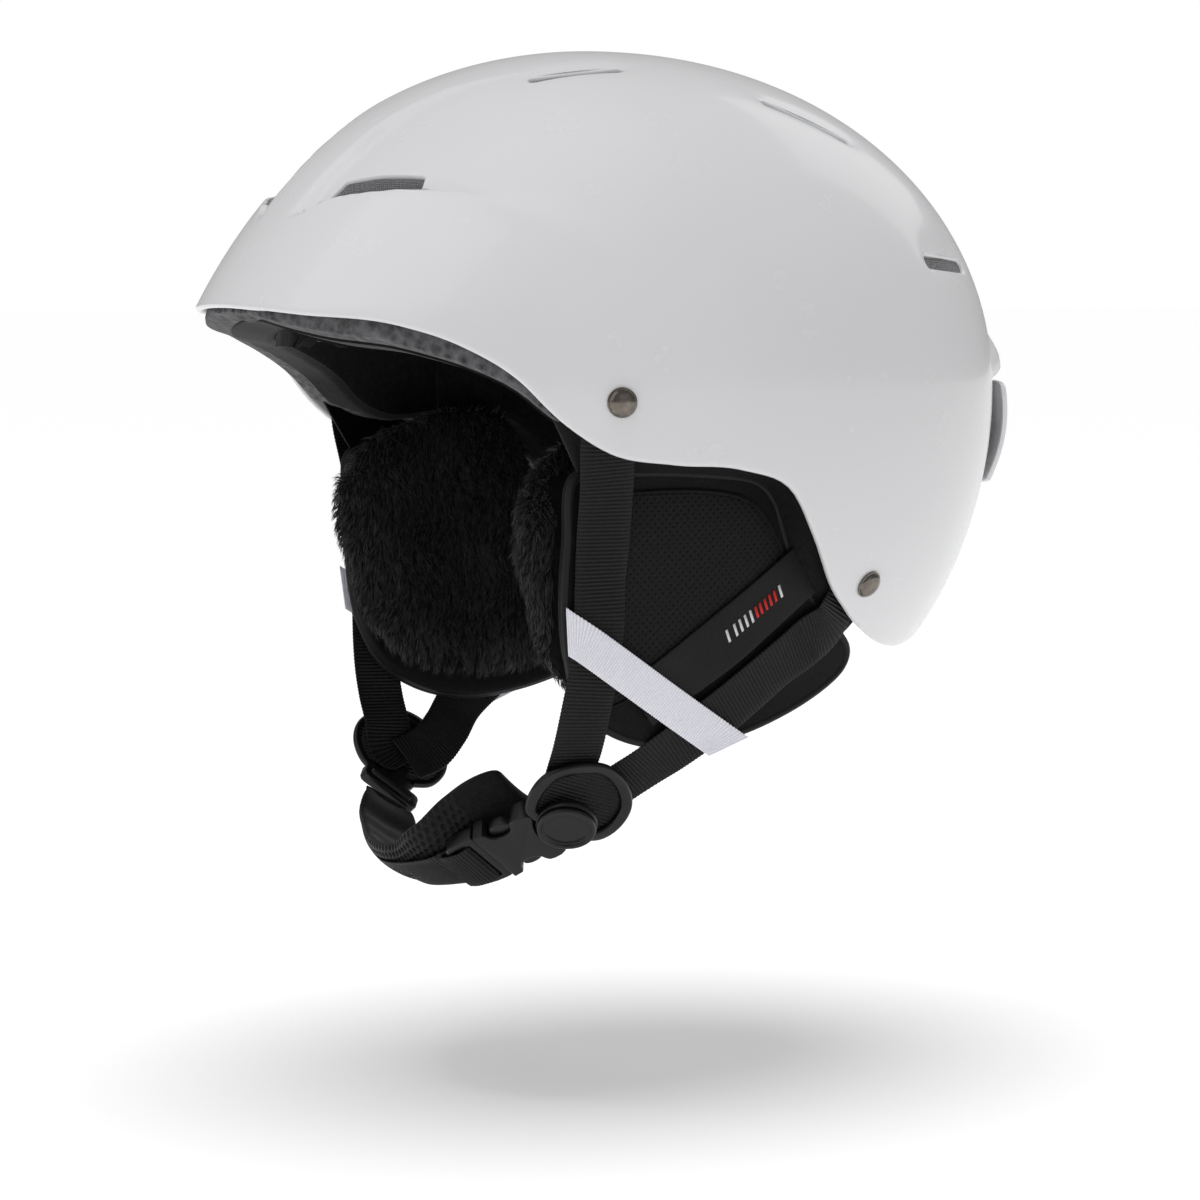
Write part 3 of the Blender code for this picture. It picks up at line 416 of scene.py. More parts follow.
looks = {"paint": paintLook(), "foam": foamLook(), "dimple": dimpleLook(), "plastic": mouldedLook(),
         "pile": pileLook(),
         "cover": clothLook("coverCloth", (0.0015, 0.0015, 0.0018), (0.007, 0.007, 0.0075), 900.0, 0.08,
                            0.05, 0.68),
         "lining": clothLook("brushedLining", (0.002, 0.002, 0.0022), (0.01, 0.01, 0.011), 420.0, 0.3, 0.12),
         "backing": clothLook("pileBacking", (0.002, 0.002, 0.0025), (0.008, 0.008, 0.0085), 260.0, 0.8, 0.1),
         "fleece": clothLook("chinFleece", (0.003, 0.003, 0.0034), (0.011, 0.011, 0.012), 700.0, 0.2, 0.18),
         "spacer": clothLook("spacerMesh", (0.0015, 0.0015, 0.0018), (0.015, 0.015, 0.016), 1500.0, 0.08,
                             0.06, 0.55),
         "webbing": webbingLook("blackWebbing", (0.0006, 0.0006, 0.0008), (0.017, 0.017, 0.018), 1.28, 0.62,
                                0.04, 0.5),
         "satin": webbingLook("wovenSatin", (0.0015, 0.0015, 0.0018), (0.01, 0.01, 0.0108), 0.8, 0.5, 0.07,
                              0.5),
         "ribbon": webbingLook("whiteGrosgrain", (0.7, 0.7, 0.78), (0.93, 0.93, 0.97), 1.0, 0.5, 0.05, 0.6),
         "threadWhite": clothLook("threadWhite", (0.55, 0.55, 0.56), (0.85, 0.85, 0.85), 1800.0, 0.08, 0.05),
         "threadRed": clothLook("threadRed", (0.42, 0.015, 0.015), (0.75, 0.05, 0.04), 1800.0, 0.08, 0.05),
         "screen": clothLook("ventScreen", (0.14, 0.14, 0.145), (0.42, 0.42, 0.43), 1500.0, 0.03, 0.0, 0.6),
         "gunmetal": metalLook("gunmetal", (0.13, 0.115, 0.1), (0.22, 0.195, 0.17), 0.14, 0.26),
         "steel": metalLook("plainSteel", (0.45, 0.45, 0.46), (0.6, 0.6, 0.61), 0.22, 0.38)}
print("materials ready:", len(looks))


# the shell's own geometry, as in the frame

dome = {"crown": 122.0, "halfWidth": 114.0, "frontReach": 132.4, "rearReach": 145.1, "centreY": 1.1,
        "drops": (117.3, 117.9, 113.1), "planPower": 2.15, "sidePower": 2.07, "lowerStretch": 1.13,
        "browFlare": 8.6, "tailFlare": 6.0, "wall": 2.6, "foam": 26.0, "foamGap": 1.3,
        "rim": [(0, 37), (23, 34.5), (41, 31), (50, 25), (58, 15), (65, 0), (71, -9), (80, -13), (90, -15.5),
                (96, -22), (101, -38), (106, -53), (113, -65), (122, -74), (137, -81), (155, -79),
                (180, -72)],
        "foamLip": [(0, -2.0), (15, -4.5), (35, -7.0), (50, -7.0), (64, -3.0), (72, 2.0), (180, 2.5)],
        "vents": [("Front", 24.5, 74.8, 38.0, 10.0, 0.0), ("TopFront", 63.0, 112.5, 33.0, 3.6, 17.0),
                  ("TopRear", 121.0, 97.4, 34.0, 3.6, -41.0), ("Rear", 133.5, 50.0, 34.0, 4.4, -3.0)],
        "frontVent": [(-19.4, -4.6), (-15.3, 4.6), (0.0, 6.0), (16.4, 6.2), (17.6, 0.2), (2.0, -2.3)],
        "rivets": [("Front", 72.5, 5.8), ("Rear", 114.8, -56.5)]}


def shares(azimuth):
    c = np.cos(azimuth)
    return np.clip(c, 0, 1) ** 2, np.clip(-c, 0, 1) ** 2, np.sin(azimuth) ** 2


def domePoint(azimuth, polar):
    # superellipsoid: plan and side powers, a drop to the widest level that changes round it, flared at brow
    # and nape
    front, rear, side = shares(azimuth)
    drop = sum(d * s for d, s in zip(dome["drops"], (front, rear, side)))
    reach = np.where(np.cos(azimuth) > 0, dome["frontReach"], dome["rearReach"])
    out = np.abs(np.sin(polar)) ** (2 / dome["sidePower"])
    up = signedPower(np.cos(polar), 2 / dome["sidePower"])
    up = up * np.where(up < 0, dome["lowerStretch"], 1.0)
    x = dome["halfWidth"] * signedPower(np.sin(azimuth), 2 / dome["planPower"]) * out
    y = dome["centreY"] - reach * signedPower(np.cos(azimuth), 2 / dome["planPower"]) * out
    z = dome["crown"] - drop + drop * up
    y = y - dome["browFlare"] * np.clip((95 - z) / 60, 0, 1) ** 2 * front
    y = y + dome["tailFlare"] * np.clip((-20 - z) / 60, 0, 1) ** 2 * rear ** 0.5
    return np.stack([x, y, z], -1)


def domeNormal(azimuth, polar):
    step = 1e-3
    along = domePoint(azimuth + step, polar) - domePoint(azimuth - step, polar)
    down = domePoint(azimuth, polar + step) - domePoint(azimuth, polar - step)
    return unit(np.cross(down, along))


def under(azimuth, polar, depth):
    azimuth, polar, depth = np.broadcast_arrays(azimuth, polar, np.asarray(depth, float))
    return domePoint(azimuth, polar) - domeNormal(azimuth, polar) * depth[..., None]


def polarAt(azimuth, height):
    # the polar angle at which the dome has a height
    drop = sum(d * s for d, s in zip(dome["drops"], shares(azimuth)))
    up = (height - dome["crown"] + drop) / drop
    up = np.where(up < 0, up / dome["lowerStretch"], up)
    return np.arccos(np.clip(signedPower(up, dome["sidePower"] / 2), -1, 1))


def turnDegrees(azimuth):
    return np.degrees(np.abs((np.asarray(azimuth) + pi) % (2 * pi) - pi))


def rimHeight(azimuth):
    return hermite(turnDegrees(azimuth), dome["rim"])


def onShell(azimuthDegrees, height, depth=0.0):
    azimuth = np.radians(np.asarray(azimuthDegrees, float))
    return under(azimuth, polarAt(azimuth, np.asarray(height, float)), depth)


def shellNormal(azimuthDegrees, height):
    azimuth = np.radians(np.asarray(azimuthDegrees, float))
    return domeNormal(azimuth, polarAt(azimuth, np.asarray(height, float)))


def insideDome(p):
    # below one inside the dome, above one outside
    azimuth = np.arctan2(p[..., 0], -(p[..., 1] - dome["centreY"]))
    front, rear, side = shares(azimuth)
    drop = sum(d * s for d, s in zip(dome["drops"], (front, rear, side)))
    up = (p[..., 2] - dome["crown"] + drop) / drop
    reach = np.where(np.cos(azimuth) > 0, dome["frontReach"], dome["rearReach"])
    y = p[..., 1] - dome["centreY"] + dome["browFlare"] * np.clip((95 - p[..., 2]) / 60, 0, 1) ** 2 * front
    planPower, sidePower = dome["planPower"], dome["sidePower"]
    plan = (np.abs(p[..., 0]) / dome["halfWidth"]) ** planPower + (np.abs(y) / reach) ** planPower
    return plan ** (sidePower / planPower) + np.abs(up) ** sidePower


def dropToDome(points, normal):
    # how far below each point the dome lies along -normal, by halving
    low, high = np.full(points.shape[:-1], -6.0), np.full(points.shape[:-1], 14.0)
    for _ in range(26):
        middle = (low + high) / 2
        inside = insideDome(points - normal * middle[..., None]) < 1
        low, high = np.where(inside, low, middle), np.where(inside, middle, high)
    return high


# shell: fine dome with a sunk band behind the front vents, real vent openings and a rolled rim

shellSet = {"columns": 320, "rows": 130, "innerRows": 60, "sink": 3.0, "flank": 6.0,
            "ledge": [(0, 62), (8, 66), (14, 70.6), (24, 73.0), (36.5, 73.6), (46.8, 72.6), (56, 69.6),
                      (63, 65.9),
                      (69.5, 61), (75.5, 54.6), (84, 45)],
            "crest": [(60, 6), (68, 8), (79, 9), (87, 10.5), (97, 13), (103, 18), (108, 26), (111, 38),
                      (114, 52)],
            "scoops": [(1, 0.9, 16.0, 5.0), (2, 0.9, 16.0, 5.0), (3, 1.0, 14.0, 7.0)],
            "fairing": {"top": 31.0, "foot": 9.6, "rise": 4.6, "inner": 20.0, "outer": 46.0}}


def sunk(azimuth, height):
    # depth of the band: steps down behind the ledge line and outside the crest line, fading to the rear and
    # the top
    turn = turnDegrees(azimuth)
    above = height - hermite(np.clip(turn, 0, 84), shellSet["ledge"])
    outside = (turn - hermite(np.clip(height, 60, 114), shellSet["crest"])) * 1.75
    softness = 2.0 + 15.0 * smoothStep((turn - 34) / 44)
    fadeBack = 1 - smoothStep((turn - 32) / 56)
    fadeUp = 1 - smoothStep((height - 92) / 24)
    shape = smoothStep(above / softness + 0.5) * smoothStep(outside / shellSet["flank"] + 0.5)
    return shellSet["sink"] * shape * fadeBack * fadeUp


def raised(points):
    # the fairing that leads down to the goggle clip, on both sides of its hinge
    fairing = shellSet["fairing"]
    x, y, z = np.abs(points[..., 0]), points[..., 1], points[..., 2]
    climb = smoothStep((fairing["top"] - z) / 16.0) * smoothStep((z - fairing["foot"]) / 2.0)
    wide = smoothStep((x - fairing["inner"]) / 3.0) * smoothStep((fairing["outer"] - x) / 3.0)
    return fairing["rise"] * climb * wide * (y > 0)


def ventFrame(vent):
    azimuth, height, slant = vent[1], vent[2], vent[5]
    normal = shellNormal(azimuth, height)
    level = unit(np.cross([0, 0, 1.0], normal))
    rise = np.cross(normal, level)
    along = level * np.cos(radians(slant)) + rise * np.sin(radians(slant))
    return onShell(azimuth, height), normal, along, np.cross(normal, along)


def scooped(points):
    # shallow hollow beside each upper vent: a gaussian trough, half its width off the vent's own line
    depth = np.zeros(points.shape[:-1])
    mirroredPoints = points * np.where(points[..., :1] < 0, [-1.0, 1, 1], [1.0, 1, 1])
    for index, sink, reach, width in shellSet["scoops"]:
        centre, normal, along, across = ventFrame(dome["vents"][index])
        a, b = (mirroredPoints - centre) @ along, (mirroredPoints - centre) @ across
        near = np.abs((mirroredPoints - centre) @ normal) < 25
        trough = near * sink * np.exp(-(a / (reach + 2)) ** 4) * np.exp(-((b - width * 0.5) / width) ** 2)
        depth = depth + trough
    return depth


def shellDepth(azimuth, polar):
    points = domePoint(azimuth, polar)
    return sunk(azimuth, points[..., 2]) + scooped(points) - raised(points)


def ventOutline(vent, expand, count=14):
    # rounded slot in the vent's own plane; the front one is cut to a slanted tip at the brow side
    name, _, _, length, width, _ = vent
    if name == "Front":
        corners = np.array(dome["frontVent"])
        steps = np.linspace(0.04, 0.96, 6)[:, None]
        loop = np.concatenate([a + (b - a) * steps for a, b in zip(corners, np.roll(corners, -1, 0))])
        return insetLoop(loop, -expand)[::-1]
    radius = width / 2 + expand
    turn = np.linspace(-pi / 2, pi / 2, count)
    cap = np.stack([length / 2 - width / 2 + radius * np.cos(turn), radius * np.sin(turn)], -1)
    return np.concatenate([cap, -cap])


def ventTool(vent, levels):
    # rings (expand, height over the real face) of the opening, so that its lip is rounded
    centre, normal, along, across = ventFrame(vent)
    rings = []
    for expand, height in levels:
        loop = ventOutline(vent, expand)
        flat = centre + loop[:, :1] * along + loop[:, 1:] * across
        surface = flat - normal * dropToDome(flat, normal)[:, None]
        azimuth = np.arctan2(surface[:, 0], -(surface[:, 1] - dome["centreY"]))
        sink = sunk(azimuth, surface[:, 2]) + scooped(surface)
        rings.append(surface + normal * (height - sink)[:, None])
    return tube(np.array(rings))


def makeShell():
    # closed wall: the dome, round the rolled rim, and back up inside
    azimuth = np.arange(shellSet["columns"]) * 2 * pi / shellSet["columns"]
    rim = polarAt(azimuth, rimHeight(azimuth))
    outer = np.linspace(0.004, 1, shellSet["rows"])
    roll = np.linspace(0, pi, 9)[1:-1]
    inner = np.linspace(1, 0.004, shellSet["innerRows"])
    half = dome["wall"] / 2
    share = np.concatenate([outer, np.ones(len(roll)), inner])
    extra = np.concatenate([outer * 0, np.sin(roll) * half / 118.0, inner * 0])
    depth = np.concatenate([outer * 0, half - np.cos(roll) * half, inner * 0 + dome["wall"]])
    polar = share[:, None] * rim[None] + extra[:, None]
    grid = np.broadcast_to(azimuth[None], polar.shape)
    points = under(grid, polar, depth[:, None] + shellDepth(grid, polar))
    piece = addPiece("shellBody", *tube(points), looks["paint"], None, None)
    levels = [(1.1, 4.0), (1.1, 0.15), (0.55, -0.12), (0.2, -0.5), (0.0, -1.1), (0.0, -6.0)]
    tools = [ventTool(vent, levels) for vent in dome["vents"]]
    tools += [(p * [-1, 1, 1], [f[::-1] for f in faces]) for p, faces in tools]
    carve(piece, *joined(tools))
    piece.data.shade_smooth()
    piece.data.set_sharp_from_angle(angle=radians(38))
    settle(piece, "root", "shell_white", ["outer_shell"])


def makeLiner():
    # bead foam bowl with a round lower edge, pockets behind the vents and at the strap ends
    azimuth = np.arange(240) * 2 * pi / 240
    lip = hermite(turnDegrees(azimuth), dome["foamLip"])
    rim = polarAt(azimuth, rimHeight(azimuth) + lip)
    top, deep = dome["wall"] + dome["foamGap"], dome["wall"] + dome["foam"]
    outer, inner = np.linspace(0.004, 1, 70), np.linspace(1, 0.004, 46)
    # share of the thickness round the lower edge; the cloth stands a little prouder than the bare foam
    through = np.array([0.02, 0.05, 0.1, 0.17, 0.25, 0.33, 0.385, 0.4, 0.42, 0.5, 0.6, 0.7, 0.8, 0.88, 0.94,
                        0.98])
    swell = (1 - np.abs(2 * through - 1) ** 4) ** 0.25 * 2.4 + 0.9 * (through > 0.39) * (through < 0.9)
    share = np.concatenate([outer, np.ones(len(through)), inner])
    extra = np.concatenate([outer * 0, swell / 118.0, inner * 0])
    depth = np.concatenate([outer * 0 + top, top + (deep - top) * through, inner * 0 + deep])
    polar = share[:, None] * (rim[None] - 2.4 / 118.0) + extra[:, None]
    grid = np.broadcast_to(azimuth[None], polar.shape)
    heights = domePoint(grid, polar)[..., 2]
    turn = turnDegrees(grid)
    pocket = np.zeros(polar.shape)
    for _, where, height in dome["rivets"]:
        beside = 1 - smoothStep((np.abs(turn - where) - 7.0) / 2.0)
        pocket = np.maximum(pocket, beside * (1 - smoothStep((heights - height - 12.0) / 4.0)))
    room = np.minimum(8.0, deep - 4.0 - depth[:, None])
    points = under(grid, polar, depth[:, None] + np.where(room > 0, pocket * room, 0) + sunk(grid, heights))
    piece = addPiece("linerFoam", *tube(points), looks["foam"], None, None)
    # bare foam shows only along the brow, on the outer part of the edge; the rest is lined
    piece.data.materials.append(looks["lining"])
    row, column = np.divmod(np.arange(len(piece.data.polygons)), len(azimuth))
    lined = (row >= 76) | (turnDegrees(azimuth)[column] > 71)
    piece.data.polygons.foreach_set("material_index", lined.astype(np.int32))
    tools = []
    for vent in dome["vents"]:
        tools.append(ventTool(vent, [(5.0, -1.0), (5.0, -14.0), (3.0, -22.0), (3.0, -40.0)]))
    tools += [(p * [-1, 1, 1], [f[::-1] for f in faces]) for p, faces in tools]
    carve(piece, *joined(tools))
    piece.data.shade_smooth()
    piece.data.set_sharp_from_angle(angle=radians(40))
    settle(piece, "root", "liner_foam", ["foam_liner"])


screenSet = {"pitch": 0.8, "wire": 0.17, "depth": 1.15, "over": (3.0, 3.0), "lean": 0.45}


def makeScreens():
    # woven wires behind each vent: two crossed sets of thin four-sided tubes that pass over and under
    for vent in dome["vents"]:
        name, _, _, length, width, _ = vent
        centre, normal, along, across = ventFrame(vent)
        halfA, halfB = (length + screenSet["over"][0]) / 2, (width + screenSet["over"][1]) / 2
        countA, countB = int(2 * halfA / screenSet["pitch"]), int(2 * halfB / screenSet["pitch"])
        a, b = np.linspace(-halfA, halfA, countA), np.linspace(-halfB, halfB, countB)
        parts = []
        for lines, runs, swap in ((b, a, False), (a, b, True)):
            lineGrid, runGrid = np.meshgrid(lines, runs, indexing="ij")
            u, v = (lineGrid, runGrid) if swap else (runGrid, lineGrid)
            flat = centre + (u + v * screenSet["lean"])[..., None] * along + v[..., None] * across
            weave = ((np.add.outer(np.arange(len(lines)),
                                   np.arange(len(runs))) + swap) % 2 * 2 - 1) * screenSet["wire"] * 0.6
            path = flat - normal * (dropToDome(flat, normal) + screenSet["depth"] + weave)[..., None]
            azimuth = np.arctan2(path[..., 0], -(path[..., 1] - dome["centreY"]))
            path = path - normal * (sunk(azimuth, path[..., 2]) + scooped(path))[..., None]
            side = along if swap else across
            for row in path:
                spokes = np.stack([side, normal, -side, -normal]) * screenSet["wire"]
                parts.append(tube(row[:, None] + spokes[None]))
        bothSides("VentScreen" + name, *joined(parts), looks["screen"], "vent_mesh",
                  [{"Front": "front", "TopFront": "top_front", "TopRear": "top_rear",
                    "Rear": "rear"}[name] + "_vent_mesh"])


makeShell()
print("shell done")
makeLiner()
makeScreens()
print("liner and vent screens done")


# webbing: a flat section with round edges carried along a route, its thickness rippled into ribs

webbing = {"width": 17.8, "thickness": 1.3, "pitch": 1.28, "ribDepth": 0.34, "edgeWave": 0.2}


def stripMesh(points, facings, width, thickness, pitch, ribDepth, rowsPerRib=5, cut=(0.0, 0.0)):
    # rows every fifth of a rib; half thickness = t/2 + depth * cosine, width waves with the same beat;
    # cut slants the two ends
    _, length = throughPoints(points, 2)
    rows = max(8, int(length / pitch * rowsPerRib))
    curve, length = throughPoints(np.concatenate([points, facings], 1), rows)
    path, outward = curve[:, :3], unit(curve[:, 3:])
    run = unit(np.gradient(path, axis=0))
    side = unit(np.cross(run, outward))
    up = np.cross(side, run)
    gone = np.linspace(0, length, rows)
    beat = np.cos(2 * pi * gone / pitch)
    turn = np.linspace(0, 2 * pi, 26, endpoint=False)
    across, lift = signedPower(np.cos(turn), 0.42), signedPower(np.sin(turn), 0.5)
    flatness = 1 - np.abs(across) ** 6
    half = width / 2 + webbing["edgeWave"] * beat[:, None] * 0.5
    tall = thickness / 2 + ribDepth / 2 * (beat[:, None] * flatness - 1)
    first = cut[0] * (1 - smoothStep(gone / width))[:, None]
    last = cut[1] * smoothStep((gone - length + width) / width)[:, None]
    lean = across * width / 2 * (first + last)
    rings = (path[:, None] + side[:, None] * (across * half)[..., None] + up[:, None] * (lift * tall)[...,
        None]
             + run[:, None] * lean[..., None])
    uv = np.stack([np.broadcast_to(across * width / 2, lean.shape),
                   np.broadcast_to(gone[:, None], lean.shape)], -1)
    return (*tube(rings), uv.reshape(-1, 2))


def webbingStrip(points, facings):
    return stripMesh(points, facings, webbing["width"], webbing["thickness"], webbing["pitch"],
                     webbing["ribDepth"])


# the buckle's own directions: (along, across, out) from the hub's centre

hub = {"centre": np.array([68.4, -42.0, -130.4]), "along": unit(np.array([-0.727, -0.528, -0.437])),
       "across": unit(np.array([-0.191, 0.768, -0.610])),
       "arch": [(68.4, -47.6, -131.6), (67.6, -54.2, -128.2), (72.6, -55.2, -121.5), (76.5, -51.5, -115.8),
                (78.9, -43, -113.5), (78.9, -34, -114.3), (76.5, -26.5, -119.5), (73, -22.5, -127.1),
                (69.5, -24.2, -133.6), (67.8, -29.5, -137.4), (68, -36.5, -137.3)]}
hub["face"] = np.cross(hub["along"], hub["across"])


def hubPoint(along, across, out):
    along, across, out = np.broadcast_arrays(np.asarray(along, float), across, out)
    return (hub["centre"] + along[..., None] * hub["along"] + across[..., None] * hub["across"] + out[...,
        None] * hub["face"])


# ear pad: its outer face as x of (y, z), as in the frame

earPad = {"outline": [(-51, -18), (-53, -40), (-53, -62), (-50, -80), (-43, -95), (-28, -105), (-8, -109),
                      (14, -106.5), (35, -100), (52, -92), (60, -85), (59, -77), (46, -65), (35, -53),
                      (28, -38), (23, -27), (14, -20), (-5, -17.5), (-28, -16.5)],
          "panel": [(-46, -26), (-48, -42), (-48, -62), (-45, -80), (-37, -93), (-24, -89), (-8, -78),
                    (10, -65),
                    (25, -54), (27, -46), (21, -36), (13, -28), (-2, -24), (-26, -23.5)],
          "thickness": 6.0, "panelCrown": 1.4, "welt": 0.6, "binding": 1.5, "gusset": (60.0, 121.0)}


def coverFace(y, z):
    jaw = 0.17 * np.maximum(0.0, -78.0 - z)
    return 96.0 + 0.1 * z - jaw - np.where(y > 0, 0.0030, 0.0006) * y * y


def coverNormal(y, z):
    leanY = (coverFace(y + 1, z) - coverFace(y - 1, z)) / 2
    leanZ = (coverFace(y, z + 1) - coverFace(y, z - 1)) / 2
    return unit(np.stack([np.ones_like(leanY), -leanY, -leanZ], -1))


def onCover(yz, lift):
    yz = np.asarray(yz, float)
    y, z = yz[..., 0], yz[..., 1]
    return np.stack([coverFace(y, z), y, z], -1) + coverNormal(y, z) * np.asarray(lift, float)[..., None]


def loopRings(loop, place, edge, rings):
    # closed solid from an outline: edge pairs (inset, lift) from back to front, then rings towards the middle
    middle = loop.mean(0)
    first, last = insetLoop(loop, edge[0][0]), insetLoop(loop, edge[-1][0])
    steps = np.linspace(1, 0.01, rings)[1:]
    stack = [place(middle + (first - middle) * s, edge[0][1], s) for s in steps[::-1]]
    stack += [place(insetLoop(loop, inset), lift, 1.0) for inset, lift in edge]
    stack += [place(middle + (last - middle) * s, edge[-1][1], s) for s in steps]
    return tube(np.array(stack))


def makeGusset():
    # soft strip that closes the gap between the cover's upper edge and the shell's rim, puffed a little
    loop, _ = throughPoints(earPad["outline"], 220, closed=True)
    degrees = np.linspace(*earPad["gusset"], 70)
    rim = onShell(degrees, rimHeight(np.radians(degrees)) + 5.0, dome["wall"] + 4.0)
    gap = np.linalg.norm(loop[None] - rim[:, None, 1:], axis=2)
    near = insetLoop(loop, 1.5)[gap.argmin(1)]
    edge = onCover(near, np.full(len(near), -1.2))
    v = np.linspace(0, 1, 12)[None, :, None]
    outward = coverNormal(near[:, 0], near[:, 1])[:, None]
    front = edge[:, None] * (1 - v) + rim[:, None] * v + outward * 1.6 * np.sin(pi * v) ** 0.7
    rings = np.concatenate([front, (front - outward * 1.4)[:, ::-1]], 1)
    bothSides("EarGusset", *tube(rings), looks["cover"], "ear_fabric")


def piping(loop, path, radius):
    # round cord along a closed loop on the cover: its (y, z) outline and its path in space
    facing = coverNormal(loop[:, 0], loop[:, 1])
    run = unit(np.roll(path, -1, 0) - np.roll(path, 1, 0))
    side = np.cross(run, facing)
    turn = np.arange(8) * pi / 4
    section = np.cos(turn)[:, None] * side[:, None] + np.sin(turn)[:, None] * facing[:, None]
    return tube(path[:, None] + radius * section, closed=True)


def makeEarCovers():
    loop, _ = throughPoints(earPad["outline"], 220, closed=True)
    t = earPad["thickness"]
    edge = [(1.6, -t), (0.5, -t + 0.5), (0.0, -t + 1.5), (0.0, -1.6), (0.35, -0.7), (1.0, -0.15), (2.0, 0.0)]

    def plain(yz, lift, share):
        return onCover(yz, np.full(len(yz), lift - 0.55 * (lift > -1) * (share < 1)))

    bothSides("EarCover", *loopRings(loop, plain, edge, 14), looks["cover"], "ear_fabric", ["ear_cover"])
    panel, _ = throughPoints(earPad["panel"], 200, closed=True)

    def crowned(yz, lift, share):
        rise = earPad["panelCrown"] * (1 - share ** 4) if lift > -0.6 else 0.0
        return onCover(yz, np.full(len(yz), lift + rise))

    pieces = bothSides("EarPanel", *loopRings(panel, crowned, [(0.3, -1.4), (0.0, -0.6), (0.35, -0.1)], 26),
                       looks["dimple"], "ear_fabric")
    weltPath = onCover(panel, np.full(len(panel), -0.1))
    bothSides("EarWelt", *piping(panel, weltPath, earPad["welt"]), looks["cover"], "ear_fabric")
    rimPath = onCover(insetLoop(loop, 0.9), np.full(len(loop), -0.9))
    bothSides("EarBinding", *piping(loop, rimPath, earPad["binding"]), looks["satin"], "ear_fabric")
    return pieces


def frontStrapRoute():
    places = np.array([(-41.4, -52), (-41.2, -66), (-42.0, -80), (-43.0, -94)])
    turns, heights = [72.5, 72.5, 71.2], np.array([15.0, 5.8, -6.0])
    points = np.concatenate([onShell(turns, heights, dome["wall"] + 2.1),
                             [(98.3, -42.8, -22), (94.2, -41.9, -37)], onCover(places, np.full(4, 1.6)),
                             [(79.6, -43.4, -106), (74.2, -43.4, -115), (69.9, -43.6, -124.0)],
                             [hubPoint(0.5, 2.0, -3.0)]])
    facings = np.concatenate([shellNormal(turns, heights), [(0.97, -0.16, -0.1)] * 2,
                              coverNormal(places[:, 0], places[:, 1]), [(0.9, -0.06, -0.4)] * 3,
                              [hub["face"]]])
    return points, facings


def rearStrapRoute():
    places = np.array([(48.0, -69.2), (38.0, -75.3), (27.0, -82), (7.0, -97)])
    points = np.concatenate([onShell([117.3, 114.8], [-49.0, -56.5], dome["wall"] + 4.4),
                             onCover(places, np.full(4, 1.6)),
                             [(80.6, -10, -109.5), (72.4, -20.5, -118.5), (67.2, -29.5, -125.0),
                              hubPoint(1.0, 1.0, -5.0)]])
    facings = np.concatenate([[(0.86, 0.44, -0.26), (0.87, 0.42, -0.26)], [(0.93, 0.27, -0.24)],
                              coverNormal(places[1:, 0], places[1:, 1]),
                              [(0.93, 0, -0.35), (0.86, -0.1, -0.5), (0.8, -0.22, -0.56), hub["face"]]])
    return points, facings


bandSet = {"label": [(35, -51), (18, -63), (3, -73.7), (-14, -85.5), (-24, -92.5)], "labelWidth": 19.0,
           "stripe": [(-53, -67), (-43, -73.5), (-20, -88.5), (-4, -99), (10, -108)], "stripeWidth": 12.5,
           "stripeLift": (3.8, 3.9, 3.3, 3.4, 3.6)}


def makeStraps():
    for name, route in (("Front", frontStrapRoute()), ("Rear", rearStrapRoute())):
        points, faces, uv = webbingStrip(*route)
        bothSides(name + "Strap", points, faces, looks["webbing"], "webbing", [name.lower() + "_strap"],
                  uv=uv)
    label = np.array(bandSet["label"], float)
    facing = coverNormal(label[:, 0], label[:, 1])
    points, faces, uv = stripMesh(onCover(label, np.full(5, 1.75)), facing, bandSet["labelWidth"], 0.7, 0.8,
                                  0.05, 4)
    bothSides("LabelBand", points, faces, looks["satin"], "label_band", ["label_band"], uv=uv)
    stripe = np.array(bandSet["stripe"], float)
    facing = coverNormal(stripe[:, 0], stripe[:, 1])
    points, faces, uv = stripMesh(onCover(stripe, bandSet["stripeLift"]), facing, bandSet["stripeWidth"],
                                  0.8, 1.0, 0.16, 5,
                                  cut=(0.8, -0.7))
    bothSides("WhiteRibbon", points, faces, looks["ribbon"], "ribbon_white", ["white_ribbon"], uv=uv)


def makeLabelMarks():
    # plain embroidered bars in two colours along the label's centre line, between two short rules
    middle = np.array([(25.5, -57.2), (3.0, -73.0)])
    run = unit(middle[1] - middle[0])
    across = np.array([-run[1], run[0]])
    for name, look, places, long in (("MarkWhite", "threadWhite", [0.0, 13.5, 15.9, 18.3, 20.7, 24.0], 2.1),
                                     ("MarkRed", "threadRed", [2.6, 4.8, 7.0, 9.2, 11.2], 1.9)):
        parts = []
        for place in places:
            centre = middle[0] + run * place
            corners = [(-0.5, -long), (0.4, -long), (1.3, long), (0.4, long)]
            loop = np.array([centre + run * a + across * b for a, b in corners])
            parts.append(tube(np.array([onCover(loop, np.full(4, lift)) for lift in (1.9, 2.28)])))
        bothSides(name, *joined(parts), looks[look], "label_band")


makeGusset()
makeEarCovers()
makeStraps()
makeLabelMarks()
print("ear covers and straps done")


# rivets: domed gunmetal heads with a fine rolled edge

